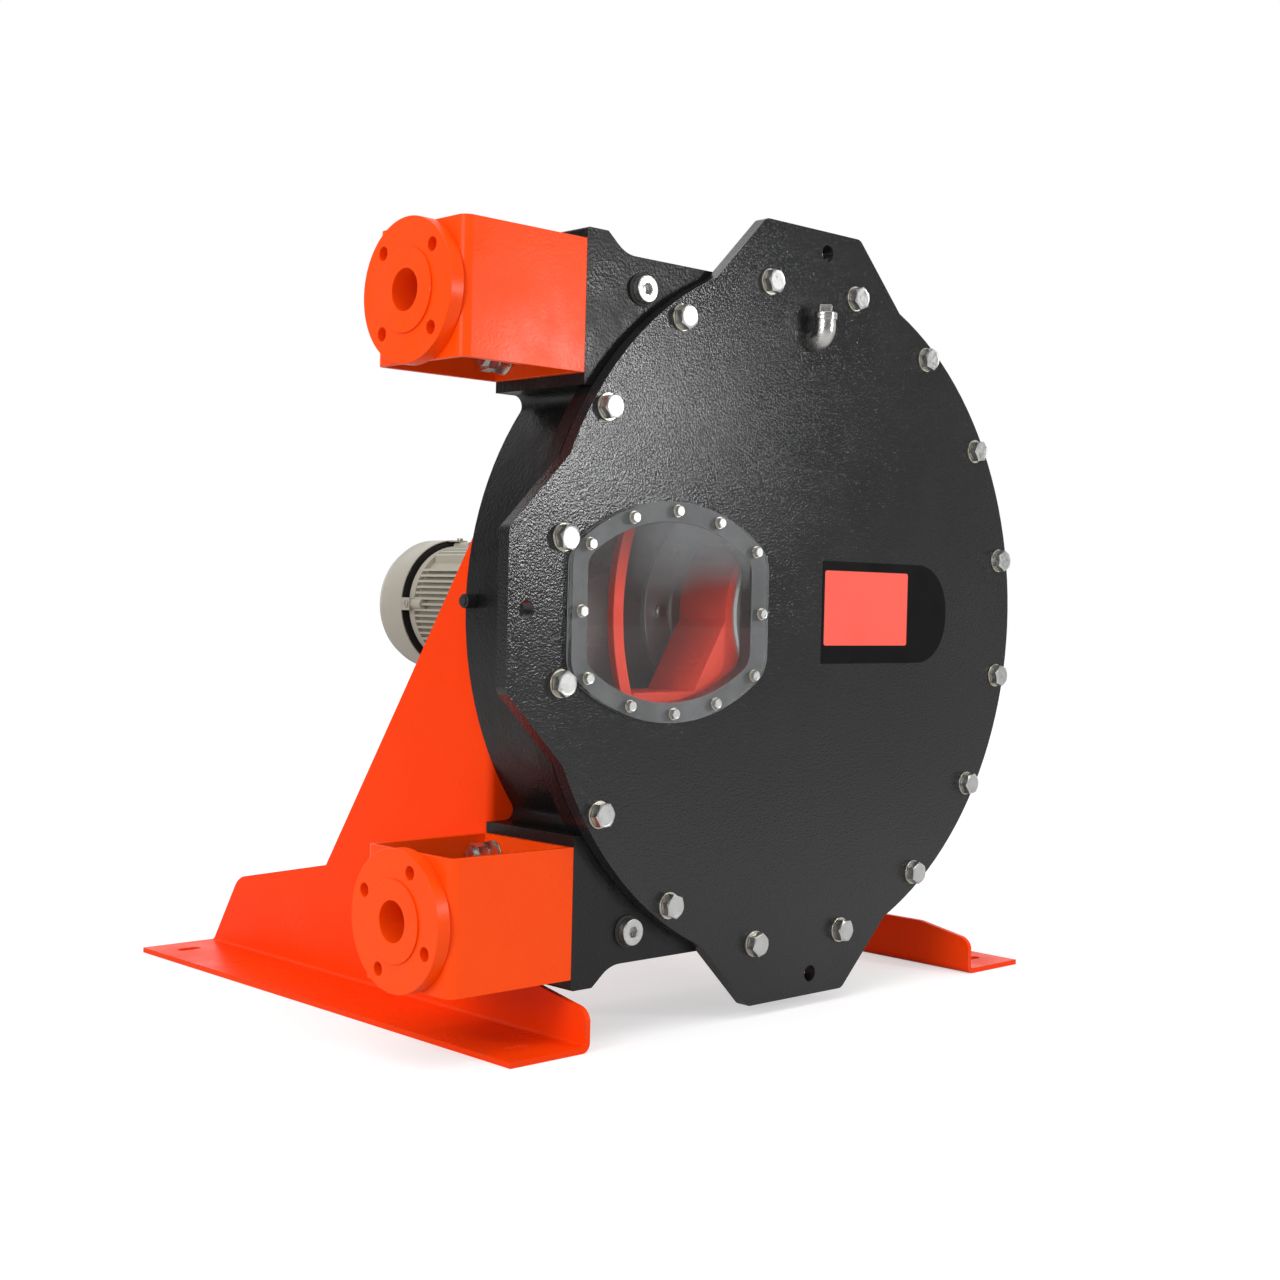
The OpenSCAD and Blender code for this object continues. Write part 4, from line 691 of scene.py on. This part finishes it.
def film(name, low, high, under, thick, roundings, material):
    """A thin film on the cover between two corners, all in mm; under is what lies below it already.
    roundings are pairs of a side, 1 right or -1 left, and the radius of its two corners."""
    bm = bmesh.new()
    bmesh.ops.create_grid(bm, x_segments=1, y_segments=1, size=0.5)
    bmesh.ops.rotate(bm, verts=bm.verts[:], matrix=Matrix.Rotation(math.radians(90), 3, "X"))
    wide, tall = high[0] - low[0], high[1] - low[1]
    bmesh.ops.scale(bm, verts=bm.verts[:], vec=(wide / 1000, 1, tall / 1000))
    for side, radius in roundings:
        ends = [v for v in bm.verts if v.co.x * side > 0 and abs(abs(v.co.z) - tall / 2000) < 1e-6]
        bmesh.ops.bevel(bm, geom=ends, offset=radius / 1000, segments=10, profile=0.5, affect="VERTICES",
                        material=-1)
    centre = place(low[0] + wide / 2, -under - thick, low[1] + tall / 2)
    bmesh.ops.translate(bm, verts=bm.verts[:], vec=centre)
    thickened(bm, thick)
    finished(name, bm, material, "pump_body", "cover_paint")


film("label_film", (37, -72), (335, 80), 0, 0.4, [(1, 70)], LABEL_BLACK)
film("label_field", (42, -45), (237, 66), 0.4, 0.1, [(1, 4), (-1, 4)], LABEL_CORAL)

# Ports: on each arm a bent plate bracket boxes in the hose end, and a loose flange with a raised
# insert face bolts against it. Socket plugs close the arms' side bores.
PORT_PAINT = coated("Port_paint", (1.0, 0.078, 0.002), (0.95, 0.066, 0.002), 0.30, 260, 0.15, waves=0.7,
                    chips=0.35, under=(0.85, 0.34, 0.20), Specular_IOR_Level=0.16)
for level_name in ("upper", "lower"):
    dressed(level_name + "_bracket", PORT_PAINT, "pump_body", "flange_paint", width=0.001, steps=3, sharp=40)
    dressed(level_name + "_flange", PORT_PAINT, "pump_body", "flange_paint", width=0.0012, steps=3)
    dressed(level_name + "_insert", PORT_PAINT, "pump_body", "flange_paint", width=0.001, steps=3)
dressed("bracket_bolts", PLATED, "pump_body", "zinc", width=0.0012, steps=3)
dressed("bracket_washers", WASHER_ZINC, "pump_body", "zinc", width=0.0005)
dressed("port_plugs", PLATED, "pump_body", "zinc", width=0.0012, steps=3)
dressed("plug_seals", GASKET, "pump_body", "gasket_rubber", width=0.0006)
